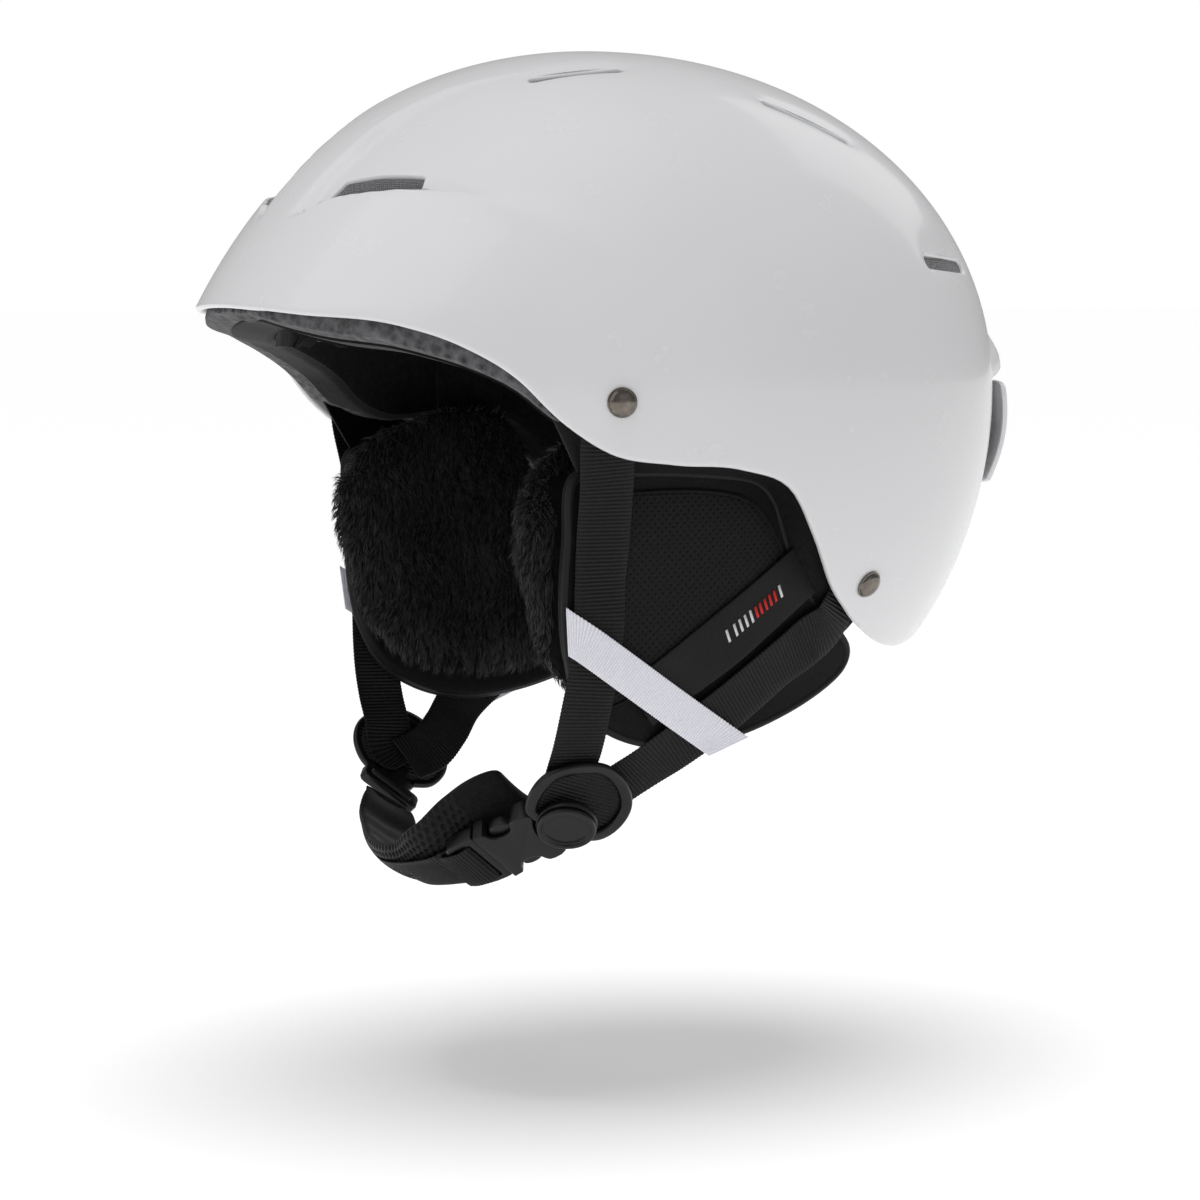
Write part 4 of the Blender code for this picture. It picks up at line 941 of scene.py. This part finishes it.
def makeRivets():
    for name, azimuth, height in dome["rivets"]:
        depth = dome["wall"] + (2.1 if name == "Front" else 4.4)
        tail = -depth - 2.4
        arc = np.linspace(0.02, 1.0, 9) * pi / 2
        cap = [(4.45 * np.sin(a), 0.75 + 1.95 * np.cos(a)) for a in arc]
        profile = cap + [(4.8, 0.62), (4.85, 0.42), (4.7, 0.15), (2.0, 0.12), (2.0, tail), (3.4, tail),
                         (3.4, tail - 1.1), (0.05, tail - 1.1)]
        points, faces = turned(onShell(azimuth, height), shellNormal(azimuth, height), profile, 40)
        bothSides(name + "RivetHead", points, faces, looks["gunmetal"], "rivet_metal",
                  [name.lower() + "_rivet"], sharp=50)


makeRivets()


# buckle

def plate(outline, low, high, rounding=0.6, smooth=None):
    # flat part from an outline in (along, across), its two edges rounded
    loop = np.array(outline, float)
    if smooth:
        loop, _ = throughPoints(loop, smooth, closed=True)
    bend = np.linspace(0, pi / 2, 5)
    levels = [(rounding * (1 - np.sin(b)), low + rounding * (1 - np.cos(b))) for b in bend]
    levels += [(rounding * (1 - np.cos(b)), high - rounding * (1 - np.sin(b))) for b in bend]
    rings = []
    for inset, out in levels:
        ring = insetLoop(loop, inset)
        rings.append(hubPoint(ring[:, 0], ring[:, 1], out))
    return tube(np.array(rings))


def mirrorOutline(half):
    # adds the other side of a part that is symmetric about its long axis
    return half + [(a, -c) for a, c in reversed(half) if abs(c) > 1e-6]


def brick(low, high):
    (a0, c0, f0), (a1, c1, f1) = low, high
    corner = [(c0, f0), (c1, f0), (c1, f1), (c0, f1)]
    return tube(np.array([[hubPoint(a, c, f) for c, f in corner] for a in (a0, a1)]))


def roundedBrick(low, high, radius, steps=4):
    # prism along out with rounded corners in (along, across)
    (a0, c0, f0), (a1, c1, f1) = low, high
    turn = np.linspace(0, pi / 2, steps)
    loop = []
    for ca, cc, start in ((a1 - radius, c1 - radius, 0), (a0 + radius, c1 - radius, 1),
                          (a0 + radius, c0 + radius, 2), (a1 - radius, c0 + radius, 3)):
        loop += [(ca + radius * np.cos(t + start * pi / 2),
                  cc + radius * np.sin(t + start * pi / 2)) for t in turn]
    loop = np.array(loop)
    return tube(np.array([hubPoint(loop[:, 0], loop[:, 1], f) for f in (f0, f1)]))


def mirrorMesh(mesh):
    points, faces = mesh
    return points * [-1, 1, 1], [f[::-1] for f in faces]


def makeDividers():
    # the arch is a tube with a flattened round section, grown into the hub's disc
    path, _ = throughPoints(hub["arch"], 90)
    run = unit(np.gradient(path, axis=0))
    side = unit(np.cross(run, hub["face"]))
    up = np.cross(side, run)
    turn = np.arange(16) * 2 * pi / 16
    a, b = signedPower(np.cos(turn), 0.6) * 2.1, signedPower(np.sin(turn), 0.7) * 1.4
    arch = tube(path[:, None] + a[None, :, None] * side[:, None] + b[None, :, None] * up[:, None])
    disc = [(0.05, 1.6), (9.4, 1.6), (10.0, 1.85), (10.25, 2.5), (10.25, 3.4), (10.0, 4.0), (9.5, 4.2),
            (0.05, 4.2)]
    body = turned(hub["centre"], hub["face"], disc, 56)
    # the straps' folded ends fill the arch's opening: across it run rows from one limb to the other
    fold, _ = throughPoints(hub["arch"], 560)
    half = len(fold) // 2
    limbs = [fold[:half], fold[::-1][:half]]
    v = np.linspace(0, 1, 9)[None, :, None]
    front = limbs[0][:, None] * (1 - v) + limbs[1][:, None] * v
    travel = np.concatenate([[0],
                             np.cumsum(np.linalg.norm(np.diff((limbs[0] + limbs[1]) / 2, axis=0), axis=1))])
    rib = webbing["ribDepth"] * np.abs(np.sin(travel * pi / webbing["pitch"]))
    front = front - hub["face"] * (0.4 - rib[:, None, None])
    rings = np.concatenate([front, (front - hub["face"] * 1.2)[:, ::-1]], 1)
    uv = np.zeros((half, 18, 2))
    uv[..., 0], uv[..., 1] = np.concatenate([v[0, :, 0], v[0, ::-1, 0]]) * 20, travel[:, None]
    bothSides("StrapFold", *tube(rings), looks["webbing"], "webbing", uv=uv.reshape(-1, 2))
    ring = [(0.05, 4.45), (9.4, 4.45), (9.75, 4.8), (9.8, 5.6), (9.55, 6.25), (9.0, 6.55), (8.5, 6.5),
            (8.15, 6.2), (8.0, 5.75),
            (7.7, 5.5), (7.3, 5.5), (7.0, 5.62), (5.0, 5.7), (0.05, 5.72)]
    for which, flip in (("left", None), ("right", mirrorMesh)):
        change = flip or (lambda m: m)
        piece = addPiece(which + "DividerBody", *change(body), looks["plastic"], None, None)
        carve(piece, *change(arch), mode='UNION')
        piece.data.shade_smooth()
        piece.data.set_sharp_from_angle(angle=radians(45))
        settle(piece, "root", "black_plastic", [which + "_divider"])
        addPiece(which + "DividerBadge", *change(turned(hub["centre"], hub["face"], ring, 56)),
                 looks["plastic"], "root",
                 "black_plastic", [which + "_divider_cap"], sharp=60)


def makeSocket():
    # sleeve that hugs the hub's disc, with a bay at each side where a prong shows
    hugging = [(10.75 * np.cos(t), 10.75 * np.sin(t)) for t in np.radians([0, 12, 24, 36, 46])]
    side = [(7.2, 9.2), (8.2, 10.6), (10.2, 11.4), (13.0, 11.6), (15.0, 11.2), (16.0, 10.0), (16.6, 8.4),
            (18.4, 7.2), (21.0, 6.8),
            (23.4, 7.3), (25.0, 8.6), (25.5, 10.2), (26.4, 11.3), (28.4, 11.55), (30.0, 11.5), (30.2, 8.0),
            (30.2, 4.0), (30.2, 0.0)]
    outline = mirrorOutline(hugging + side)
    piece = addPiece("socketBody", *plate(outline, -4.2, 4.2, 0.9), looks["plastic"], None, None)
    carve(piece, *brick((-2.0, -4.5, -1.15), (13.0, 4.5, 1.25)), mode='UNION')
    carve(piece, *brick((13.6, -9.9, -2.6), (34.0, 9.9, 2.6)))
    piece.data.shade_smooth()
    piece.data.set_sharp_from_angle(angle=radians(40))
    settle(piece, "root", "black_plastic", ["buckle_socket"])


def makePlug():
    # webbing frame with two slots and a guide blade; the prongs are bodies of their own
    frameHalf = [(30.6, 0.0), (30.6, 6.0), (30.6, 10.6), (31.2, 11.5), (33.0, 11.7), (37.0, 11.5),
                 (41.0, 10.8), (42.4, 10.0), (42.8, 8.6), (42.8, 0.0)]
    piece = addPiece("plugFrame", *plate(mirrorOutline(frameHalf), -3.0, 3.0, 1.1), looks["plastic"], None,
                     None)
    carve(piece, *brick((15.2, -2.6, -1.2), (33.0, 2.6, 1.2)), mode='UNION')
    for start in (33.2, 38.0):
        carve(piece, *roundedBrick((start, -9.3, -9), (start + 2.9, 9.3, 9), 1.1))
    piece.data.shade_smooth()
    piece.data.set_sharp_from_angle(angle=radians(40))
    settle(piece, "buckle_male", "black_plastic", ["buckle_plug"])
    for name, side in (("Front", -1), ("Rear", 1)):
        outline = [(30.1, 4.6), (30.1, 7.3), (27.4, 7.6), (25.0, 8.5), (24.5, 10.1), (22.4, 11.0),
                   (19.6, 10.9), (17.3, 9.9), (15.4, 8.0),
                   (14.9, 6.3), (16.4, 5.5), (20.0, 5.8), (24.0, 5.6), (27.0, 4.9)]
        outline = [(a, side * c) for a, c in outline]
        addPiece("prong" + name + "Grip", *plate(outline, -2.2, 2.2, 0.8, smooth=72), looks["plastic"],
                 "prong_" + name.lower() + "_body", "black_plastic", ["prong_" + name.lower()], sharp=60)


def makeStrapBar():
    half = [(11.3, 0.0), (11.3, 9.0), (11.8, 10.8), (13.2, 11.6), (17.4, 11.6), (18.8, 10.8), (19.2, 9.2),
            (19.2, 0.0)]
    piece = addPiece("barFrame", *mirrorMesh(plate(mirrorOutline(half), -2.0, 2.0, 0.8)), looks["plastic"],
                     None, None)
    carve(piece, *mirrorMesh(brick((-2.0, -4.5, -1.15), (13.0, 4.5, 1.25))), mode='UNION')
    carve(piece, *mirrorMesh(roundedBrick((13.7, -9.3, -9), (16.9, 9.3, 9), 1.2)))
    piece.data.shade_smooth()
    piece.data.set_sharp_from_angle(angle=radians(40))
    settle(piece, "root", "black_plastic", ["strap_bar"])


makeDividers()
makeSocket()
makePlug()
makeStrapBar()
print("buckle done")


# chin strap and its sleeve: they bend between the fixed end on the right and the plug on the left

chin = {"route": [(15.0, -70.5, -155.5), (0.0, -70.3, -156.8), (-18.0, -66.5, -155.2),
                  (-33.0, -62.0, -152.0), (-40.0, -60.0, -149.2)],
        "stub": [(-40.6, -59.7, -148.8), (-46.5, -56.6, -144.6), (-52.8, -53.0, -139.9)],
        "lead": [(15.0, -6.0, -12.5), (25.0, -5.5, -11.5), (36.0, -4.5, -9.0), (47.0, -2.5, -6.0)]}


def chinFacing(points):
    points = np.asarray(points, float)
    return unit(np.stack([points[:, 0] * 0.012, np.full(len(points), -0.45), np.full(len(points), -0.8)], -1))


def makeChinStrap():
    lead = hubPoint([44.0, 49.2], 0.0, 0.0)
    points = np.concatenate([lead, chin["route"]])
    facings = np.concatenate([[hub["face"]] * 2, chinFacing(chin["route"])])
    mesh, faces, uv = webbingStrip(points, facings)
    strap = addPiece("chinWebbing", mesh, faces, looks["webbing"], None, None, uv=uv)
    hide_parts("chin_strap")
    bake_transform(strap)
    points = np.array(chin["stub"])
    mesh, faces, uv = webbingStrip(points, chinFacing(points))
    addPiece("chinWebbingEnd", mesh, faces, looks["webbing"], "root", "webbing", ["chin_strap_anchor"], uv=uv)
    # the turn round the plug's middle bar, and the layers that lie on each other behind it
    loop = [(46.5, 1.9), (43.6, 3.2), (40.6, 3.9), (37.4, 4.2), (35.0, 3.4), (34.4, 0.6), (34.7, -2.2),
            (37.0, -3.7), (41.5, -3.8), (46.0, -2.0)]
    path = hubPoint([a for a, _ in loop], 0.0, [f for _, f in loop])
    facing = np.gradient(np.array(loop), axis=0)
    outward = unit(np.stack([facing[:, 1], -facing[:, 0]], -1))
    normals = outward[:, :1] * hub["along"] + outward[:, 1:] * hub["face"]
    mesh, faces, uv = stripMesh(path, normals, 18.0, 1.2, webbing["pitch"], webbing["ribDepth"])
    addPiece("plugWebbingTurn", mesh, faces, looks["webbing"], "buckle_male", "webbing", uv=uv)


def makeChinSleeve():
    # padded sleeve: a flap behind the buckle that becomes a sheath round the strap under the chin. Its
    # section is a
    # flattened oval with both long edges curled in; hexagonal pits cover the mesh side
    below = np.array(chin["route"] + chin["stub"][1:2] + [(-50.0, -54.7, -142.0)])
    lead = np.array([hubPoint(*place) for place in chin["lead"]])
    sink = np.array([3.0, 1.8, 0.5, 0.4, 0.4, 0.3, 0.2])[:, None]
    route = np.concatenate([lead, below - chinFacing(below) * sink])
    facings = np.concatenate([[hub["face"]] * len(lead), chinFacing(below)])
    curve, length = throughPoints(np.concatenate([route, facings], 1), 420)
    path, facing = curve[:, :3], unit(curve[:, 3:])
    run = unit(np.gradient(path, axis=0))
    side = unit(np.cross(run, facing))
    up = np.cross(side, run)
    share = np.linspace(0, 1, len(path))[:, None]
    ends = (1 - np.abs(2 * share - 1) ** 8) ** 0.5
    flap = 1 - smoothStep((share - 0.3) / 0.14)
    turn = np.linspace(0, 2 * pi, 160, endpoint=False)
    across, lift = signedPower(np.cos(turn), 0.8), signedPower(np.sin(turn), 0.85)
    wide = (12.5 + 2.5 * flap) * (0.7 + 0.3 * ends)
    hump = 1.6 * flap * np.exp(-((share - 0.16) / 0.12) ** 2)
    puff = (3.1 + hump) * (0.45 + 0.55 * ends) + 0.25 * np.cos(share * 60) * (lift < 0)
    curl = -2.6 * np.abs(across) ** 2.2
    x, y = across * wide, curl + lift * puff
    around = np.cumsum(np.hypot(np.diff(across * 13.0, append=13.0), np.diff(lift * 3.0, append=0.0)))
    pitch = 2.7
    u, v = share * length / pitch, around[None] / (pitch * 0.866)
    row = np.floor(v)
    cellU = u + 0.5 * (row % 2) - np.floor(u + 0.5 * (row % 2)) - 0.5
    cellV = (v - row - 0.5) * 0.866
    pit = 1 - smoothStep((np.hypot(cellU, cellV) - 0.18) / 0.2)
    meshed = smoothStep((lift + 0.3) / 0.25) * smoothStep((share - 0.12) / 0.04)
    y = y - 0.8 * pit * meshed * np.sign(lift)
    rings = path[:, None] + side[:, None] * x[..., None] + up[:, None] * y[..., None]
    sleeve = addPiece("chinSleeve", *tube(rings), looks["spacer"], None, None)
    sleeve.data.materials.append(looks["fleece"])
    cloth = np.ones(len(sleeve.data.polygons), np.int32)
    cloth[:meshed[:-1].size] = meshed[:-1].ravel() < 0.5
    sleeve.data.polygons.foreach_set("material_index", cloth)
    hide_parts("chin_pad")
    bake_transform(sleeve)


makeChinStrap()
makeChinSleeve()
print("chin strap done")


# goggle clip at the back

clip = {"hinge": 13.0, "halfWidth": 45.0, "height": 40.0}


def rearPlace(x, z, lift):
    # point of the shell's back at x and z, lifted off it, found by halving the azimuth
    x, z, lift = np.broadcast_arrays(np.asarray(x, float), np.asarray(z, float), np.asarray(lift, float))
    low, high = np.full(x.shape, pi / 2), np.full(x.shape, pi)
    for _ in range(26):
        middle = (low + high) / 2
        p = under(middle, polarAt(middle, z), -lift)
        far = p[..., 0] > np.abs(x)
        low, high = np.where(far, middle, low), np.where(far, high, middle)
    p[..., 0] *= np.where(x < 0, -1, 1)
    return p


def makeGoggleClip():
    top, foot = clip["hinge"] - 4.5, clip["hinge"] - clip["height"]
    half = clip["halfWidth"]
    outline = [(0, top), (half * 0.6, top), (half - 3, top - 0.6), (half, top - 4),
               (half * 0.95, (top + foot) / 2), (half * 0.86, foot + 4),
               (half * 0.80, foot + 0.8), (half * 0.5, foot), (0, foot)]
    loop = np.array(outline + [(-a, b) for a, b in reversed(outline[1:-1])], float)
    loop, _ = throughPoints(loop, 160, closed=True)

    def place(xz, lift, share):
        down = (top - xz[:, 1]) / (top - foot)
        arch = 4.0 + 1.8 * np.sin(pi * np.clip(down * 1.05, 0, 1))
        rib = 0.5 * smoothStep((0.86 - share) / 0.1) if lift > 1 else 0.0
        return rearPlace(xz[:, 0], xz[:, 1], arch + lift - rib)

    edge = [(0.7, 0.0), (0.2, 0.2), (0.0, 0.7), (0.0, 1.3), (0.2, 1.8), (0.8, 2.05)]
    arm = addPiece("clipArm", *loopRings(loop, place, edge, 24), looks["paint"], None, None)
    pin = rearPlace(0.0, clip["hinge"], 4.6)
    centre = np.array([0.0, pin[1], clip["hinge"]])
    sideways = np.array([1.0, 0, 0])
    barrel = turned(centre - sideways * 10.6, sideways,
                    [(0.05, 0), (2.3, 0), (2.6, 0.3), (2.6, 20.9), (2.3, 21.2), (0.05, 21.2)], 24)
    web = [(x, centre[1] + y, z) for x in (-10.4, 10.4) for y,
           z in ((0.4, centre[2]), (2.4, centre[2]), (2.6, top - 1.0), (0.6, top - 1.0))]
    carve(arm, *barrel, mode='UNION')
    carve(arm, *tube(np.array(web).reshape(2, 4, 3)), mode='UNION')
    carve(arm, *turned(centre - sideways * 12, sideways, [(0.05, 0), (1.3, 0), (1.3, 24), (0.05, 24)], 20))
    arm.data.shade_smooth()
    arm.data.set_sharp_from_angle(angle=radians(40))
    settle(arm, "goggle_clip", "shell_white", ["goggle_clip_arm"])
    copyNode("goggle_clip_base", "clipBase", looks["plastic"], "root", "black_plastic", 0.35)


def copyNode(node, name, look, body, slotName, edge):
    # a solid of the frame with merged points and rounded edges
    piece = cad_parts[node].copy()
    piece.data = piece.data.copy()
    piece.name = name
    for key in [k for k in piece.keys() if k.startswith("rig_")]:
        del piece[key]
    piece.parent = None
    scene.collection.objects.link(piece)
    bm = bmesh.new()
    bm.from_mesh(piece.data)
    bmesh.ops.remove_doubles(bm, verts=bm.verts, dist=2e-6)
    bmesh.ops.dissolve_limit(bm, angle_limit=radians(1.0), verts=bm.verts, edges=bm.edges)
    bmesh.ops.recalc_face_normals(bm, faces=bm.faces)
    bm.to_mesh(piece.data)
    bm.free()
    piece.data.materials.clear()
    piece.data.materials.append(look)
    if edge:
        bevel = piece.modifiers.new("edge", 'BEVEL')
        bevel.width, bevel.segments = edge * milli, 3
        bevel.limit_method, bevel.angle_limit = 'ANGLE', radians(40)
        bake(piece)
    piece.data.shade_smooth()
    piece.data.set_sharp_from_angle(angle=radians(50))
    if body:
        settle(piece, body, slotName, [node])
    return piece


makeGoggleClip()
print("goggle clip done")


# padded pieces: a copy of the soft solid is remeshed and blown up a little as cloth, then sewn

padSet = {"voxel": 4.0, "pressure": 4.0, "frames": 20}


def blowUp(piece, voxel, cap, levels):
    # voxel remesh, cloth under pressure without gravity, each point's travel held under cap, one subdivision
    remesh = piece.modifiers.new("remesh", 'REMESH')
    remesh.mode, remesh.voxel_size = 'VOXEL', voxel * milli
    bake(piece)
    count = len(piece.data.vertices)
    rest = np.empty(count * 3)
    piece.data.vertices.foreach_get("co", rest)
    rest = rest.reshape(-1, 3)
    cloth = piece.modifiers.new("cloth", 'CLOTH')
    cloth.settings.use_pressure = True
    cloth.settings.uniform_pressure_force = padSet["pressure"]
    cloth.settings.effector_weights.gravity = 0.0
    cloth.settings.quality = 5
    cloth.point_cache.frame_start, cloth.point_cache.frame_end = 1, padSet["frames"]
    for step in range(1, padSet["frames"] + 1):
        scene.frame_set(step)
    graph = bpy.context.evaluated_depsgraph_get()
    moved = np.empty(count * 3)
    piece.evaluated_get(graph).data.vertices.foreach_get("co", moved)
    travel = moved.reshape(-1, 3) - rest
    far = np.linalg.norm(travel, axis=1, keepdims=True)
    travel *= np.minimum(1.0, cap * milli / np.maximum(far, 1e-9))
    piece.modifiers.clear()
    piece.data.vertices.foreach_set("co", (rest + travel).ravel())
    scene.frame_set(1)
    finer = piece.modifiers.new("finer", 'SUBSURF')
    finer.levels = finer.render_levels = levels
    bake(piece)
    piece.data.shade_smooth()


def vertexArrays(mesh):
    count = len(mesh.vertices)
    co, no = np.empty(count * 3), np.empty(count * 3)
    mesh.vertices.foreach_get("co", co)
    mesh.vertices.foreach_get("normal", no)
    return co.reshape(-1, 3) / milli, no.reshape(-1, 3)


def sewChannels(piece, azimuths, heights, depth):
    # stitched channels: the inner face sinks along lines of azimuth and of height
    co, no = vertexArrays(piece.data)
    azimuth = np.degrees(np.arctan2(co[:, 0], -(co[:, 1] - dome["centreY"])))
    away = unit(co * [1, 1, 0.6])
    inner = np.clip(-(no * away).sum(1), 0, 1)
    sink = np.zeros(len(co))
    for value in azimuths:
        gap = np.abs((azimuth - value + 180) % 360 - 180) * 1.4
        sink = np.maximum(sink, np.exp(-(gap / 1.5) ** 2))
    for value in heights:
        sink = np.maximum(sink, np.exp(-((co[:, 2] - value) / 1.5) ** 2))
    co = co - no * (depth * sink * inner)[:, None]
    piece.data.vertices.foreach_set("co", (co * milli).ravel())
    piece.data.update()


def makeComfortPads():
    plan = [("brow_pad", "browPad", (-38, -19, 0, 19, 38), ()),
            ("rear_pad", "rearPad", (160, 180, 200), (25,)),
            ("nape_pad", "napePad", (165, 195), ()),
            ("crown_pad", "crownPad", (0, 60, 120, 180, 240, 300), ()),
            ("left_side_pad", "leftSidePad", (89,), (53,)), ("right_side_pad", "rightSidePad", (-89,), (53,))]
    for node, name, azimuths, heights in plan:
        pad = copyNode(node, name, looks["lining"], None, None, 0)
        blowUp(pad, padSet["voxel"], 2.6, 2)
        sewChannels(pad, azimuths, heights, 1.5)
        settle(pad, "root", "lining_fabric", [node])
    for side in ("left", "right"):
        tab = copyNode(side + "_ear_pad_tab", side + "PadTab", looks["lining"], "root", "lining_fabric", 0.3)
        tab.data.shade_smooth()


pile = {"count": 36000, "length": 5.0, "width": 0.34, "clump": 4.6, "flow": (0.0, -0.22, -1.0), "tuck": 4.6}


def pileOn(points, faces, seed, keep):
    # strands as blades of three lengths: root, bend and tip. Roots are spread evenly by area, each leans
    # from the
    # surface normal into the lie of the pile, and the tips of one clump draw together
    random = np.random.default_rng(seed)
    tri = np.array([t for f in faces for t in ([f[0], f[1], f[2]],
                                               [f[0], f[2], f[3]])] if len(faces[0]) == 4 else faces)
    a, b, c = points[tri[:, 0]], points[tri[:, 1]], points[tri[:, 2]]
    cross = np.cross(b - a, c - a)
    area = np.linalg.norm(cross, axis=1)
    pick = random.choice(len(tri), pile["count"], p=area / area.sum())
    s, t = random.random((2, pile["count"], 1))
    fold = s + t > 1
    s, t = np.where(fold, 1 - s, s), np.where(fold, 1 - t, t)
    root = a[pick] + (b - a)[pick] * s + (c - a)[pick] * t
    normal = unit(cross[pick])
    kept = keep(root, normal)
    root, normal = root[kept], normal[kept]
    n = len(root)
    flow = np.array(pile["flow"]) - normal * (normal @ np.array(pile["flow"]))[:, None]
    swirl = np.stack([np.sin(root[:, 1] * 0.17 + root[:, 2] * 0.05), np.sin(root[:, 2] * 0.21 + 1.3),
                      np.sin(root[:, 1] * 0.13 - root[:, 2] * 0.11)], -1)
    warped = root + 2.2 * np.sin(root[:, [1, 2, 0]] * 0.9)
    cell = np.floor(warped / pile["clump"])
    draw = (cell + 0.5) * pile["clump"] - warped
    whim = np.sin(cell @ np.array([12.9898, 78.233, 37.719])[:, None] * [1.0, 1.7, 2.3])
    lean = normal * 0.62 + flow * 0.7 + swirl * 0.2 + whim * 0.26 + random.normal(0, 0.11, (n, 3))
    long = pile["length"] * random.uniform(0.65, 1.1, (n, 1))
    first = unit(lean) * long * 0.5
    second = unit(normal * 0.2 + flow * 1.1 + swirl * 0.2 + whim * 0.2 + draw * 0.14) * long * 0.5
    across = unit(np.cross(lean, random.normal(0, 1, (n, 3)))) * pile["width"] / 2
    bend = root + first
    tip = bend + second
    verts = np.stack([root - across, root + across, bend + across * 0.8, bend - across * 0.8, tip], 1)
    base = np.arange(n)[:, None] * 5
    quads = (base + [0, 1, 2, 3]).tolist()
    tips = (base + [3, 2, 4]).tolist()
    # a random tone per strand, times painted shade that darkens the root and the bend against the tip
    shade = random.uniform(0.25, 1.0, (n, 1)) * [0.1, 0.1, 0.5, 0.5, 1.0]
    return verts.reshape(-1, 3), quads + tips, shade.ravel()


def makeEarCushions():
    cushion = copyNode("left_ear_cushion", "leftCushion", looks["backing"], None, None, 0)
    blowUp(cushion, 5.0, 3.0, 1)
    points, outward = vertexArrays(cushion.data)
    points = points - outward * pile["tuck"]
    faces = [list(p.vertices) for p in cushion.data.polygons]
    bpy.data.objects.remove(cushion)
    for piece in bothSides("CushionCore", points, faces, looks["backing"], "plush", ["ear_cushion"]):
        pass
    outline, _ = throughPoints(earPad["outline"], 120, closed=True)
    middle = outline.mean(0)
    reach = np.linalg.norm(outline - middle, axis=1)
    bearing = np.arctan2(outline[:, 1] - middle[1], outline[:, 0] - middle[0])
    order = np.argsort(bearing)

    def showing(root, normal):
        # no strands behind the cover
        away = root[:, 1:] - middle
        limit = np.interp(np.arctan2(away[:, 1], away[:, 0]), bearing[order], reach[order], period=2 * pi)
        behind = (normal[:, 0] > 0.35) & (np.linalg.norm(away, axis=1) < limit - 1.0)
        return ~behind & (root[:, 2] < 4.0)

    for side, flip in (("left", 1.0), ("right", -1.0)):
        strands, blades, shade = pileOn(points, faces, 11 if flip > 0 else 23, showing)
        piece = addPiece(side + "Plush", strands * [flip, 1, 1], blades, looks["pile"], "root", "plush",
                         outward=False)
        tone = piece.data.attributes.new("tone", 'FLOAT', 'POINT')
        tone.data.foreach_set("value", shade.astype(np.float32))


makeComfortPads()
print("comfort pads done")
makeEarCushions()
print("ear cushions done")


# frame solids that stay as they are, with their own finish

def dressNode(node, look):
    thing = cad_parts[node]
    thing.data.materials.clear()
    thing.data.materials.append(look)
    for polygon in thing.data.polygons:
        polygon.use_smooth = False


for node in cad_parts:
    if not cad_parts[node].hide_render:
        dressNode(node, looks["steel"])
        print("kept as it is:", node)


# studio: white floor, soft boxes

studio = {"floor": -230.0, "world": 0.3, "key": 10.5, "fill": 1.6, "back": 1.5, "overhead": 1.75,
          "glow": 0.24}


def softBox(name, place, size, power):
    data = bpy.data.lights.new(name, 'AREA')
    data.shape, data.size, data.energy = 'SQUARE', size, power
    lamp = bpy.data.objects.new(name, data)
    scene.collection.objects.link(lamp)
    lamp.location = place
    lamp.rotation_euler = (Vector((0, 0, -0.03)) - Vector(place)).to_track_quat("-Z", "Y").to_euler()


def makeStudio():
    turn = radians(cameraSet["azimuth"])
    towards = np.array([np.sin(turn), -np.cos(turn), 0.0])
    right = np.array([np.cos(turn), np.sin(turn), 0.0])
    up = np.array([0, 0, 1.0])
    softBox("keyBox", towards * 0.9 - right * 1.5 + up * 1.3, 2.4, studio["key"])
    softBox("fillBox", towards * 1.6 + right * 1.0 + up * 0.5, 1.6, studio["fill"])
    softBox("backBox", -towards * 0.9 + right * 0.9 + up * 0.9, 0.8, studio["back"])
    data = bpy.data.lights.new("overhead", 'SUN')
    data.energy, data.angle = studio["overhead"], radians(42)
    overhead = bpy.data.objects.new("overhead", data)
    scene.collection.objects.link(overhead)
    overhead.location = (0, 0, 2)
    overhead.visible_glossy = False
    world = bpy.data.worlds.new("studio")
    scene.world = world
    world.use_nodes = True
    tree = world.node_tree
    tree.nodes["Background"].inputs["Color"].default_value = (1, 1, 1, 1)
    tree.nodes["Background"].inputs["Strength"].default_value = studio["world"]
    seen = tree.nodes.new("ShaderNodeBackground")
    seen.inputs["Strength"].default_value = 1.0
    seen.inputs["Color"].default_value = (1, 1, 1, 1)
    path, mix = tree.nodes.new("ShaderNodeLightPath"), tree.nodes.new("ShaderNodeMixShader")
    tree.links.new(path.outputs["Is Camera Ray"], mix.inputs["Fac"])
    tree.links.new(tree.nodes["Background"].outputs[0], mix.inputs[1])
    tree.links.new(seen.outputs[0], mix.inputs[2])
    tree.links.new(mix.outputs[0], tree.nodes["World Output"].inputs["Surface"])
    look = Look("floorWhite", (0.9, 0.9, 0.9), 0.9, specular=0.1)
    look.set("Emission Color", (1, 1, 1, 1))
    look.set("Emission Strength", studio["glow"])
    reach = 30000.0
    corners = [(-reach, -reach, studio["floor"]), (reach, -reach, studio["floor"]),
               (reach, reach, studio["floor"]), (-reach, reach, studio["floor"])]
    floor = addPiece("floor", corners, [[0, 1, 2, 3]], look.material, None, None, outward=False)
    scene.view_settings.view_transform = 'Standard'


makeStudio()
print("studio done")
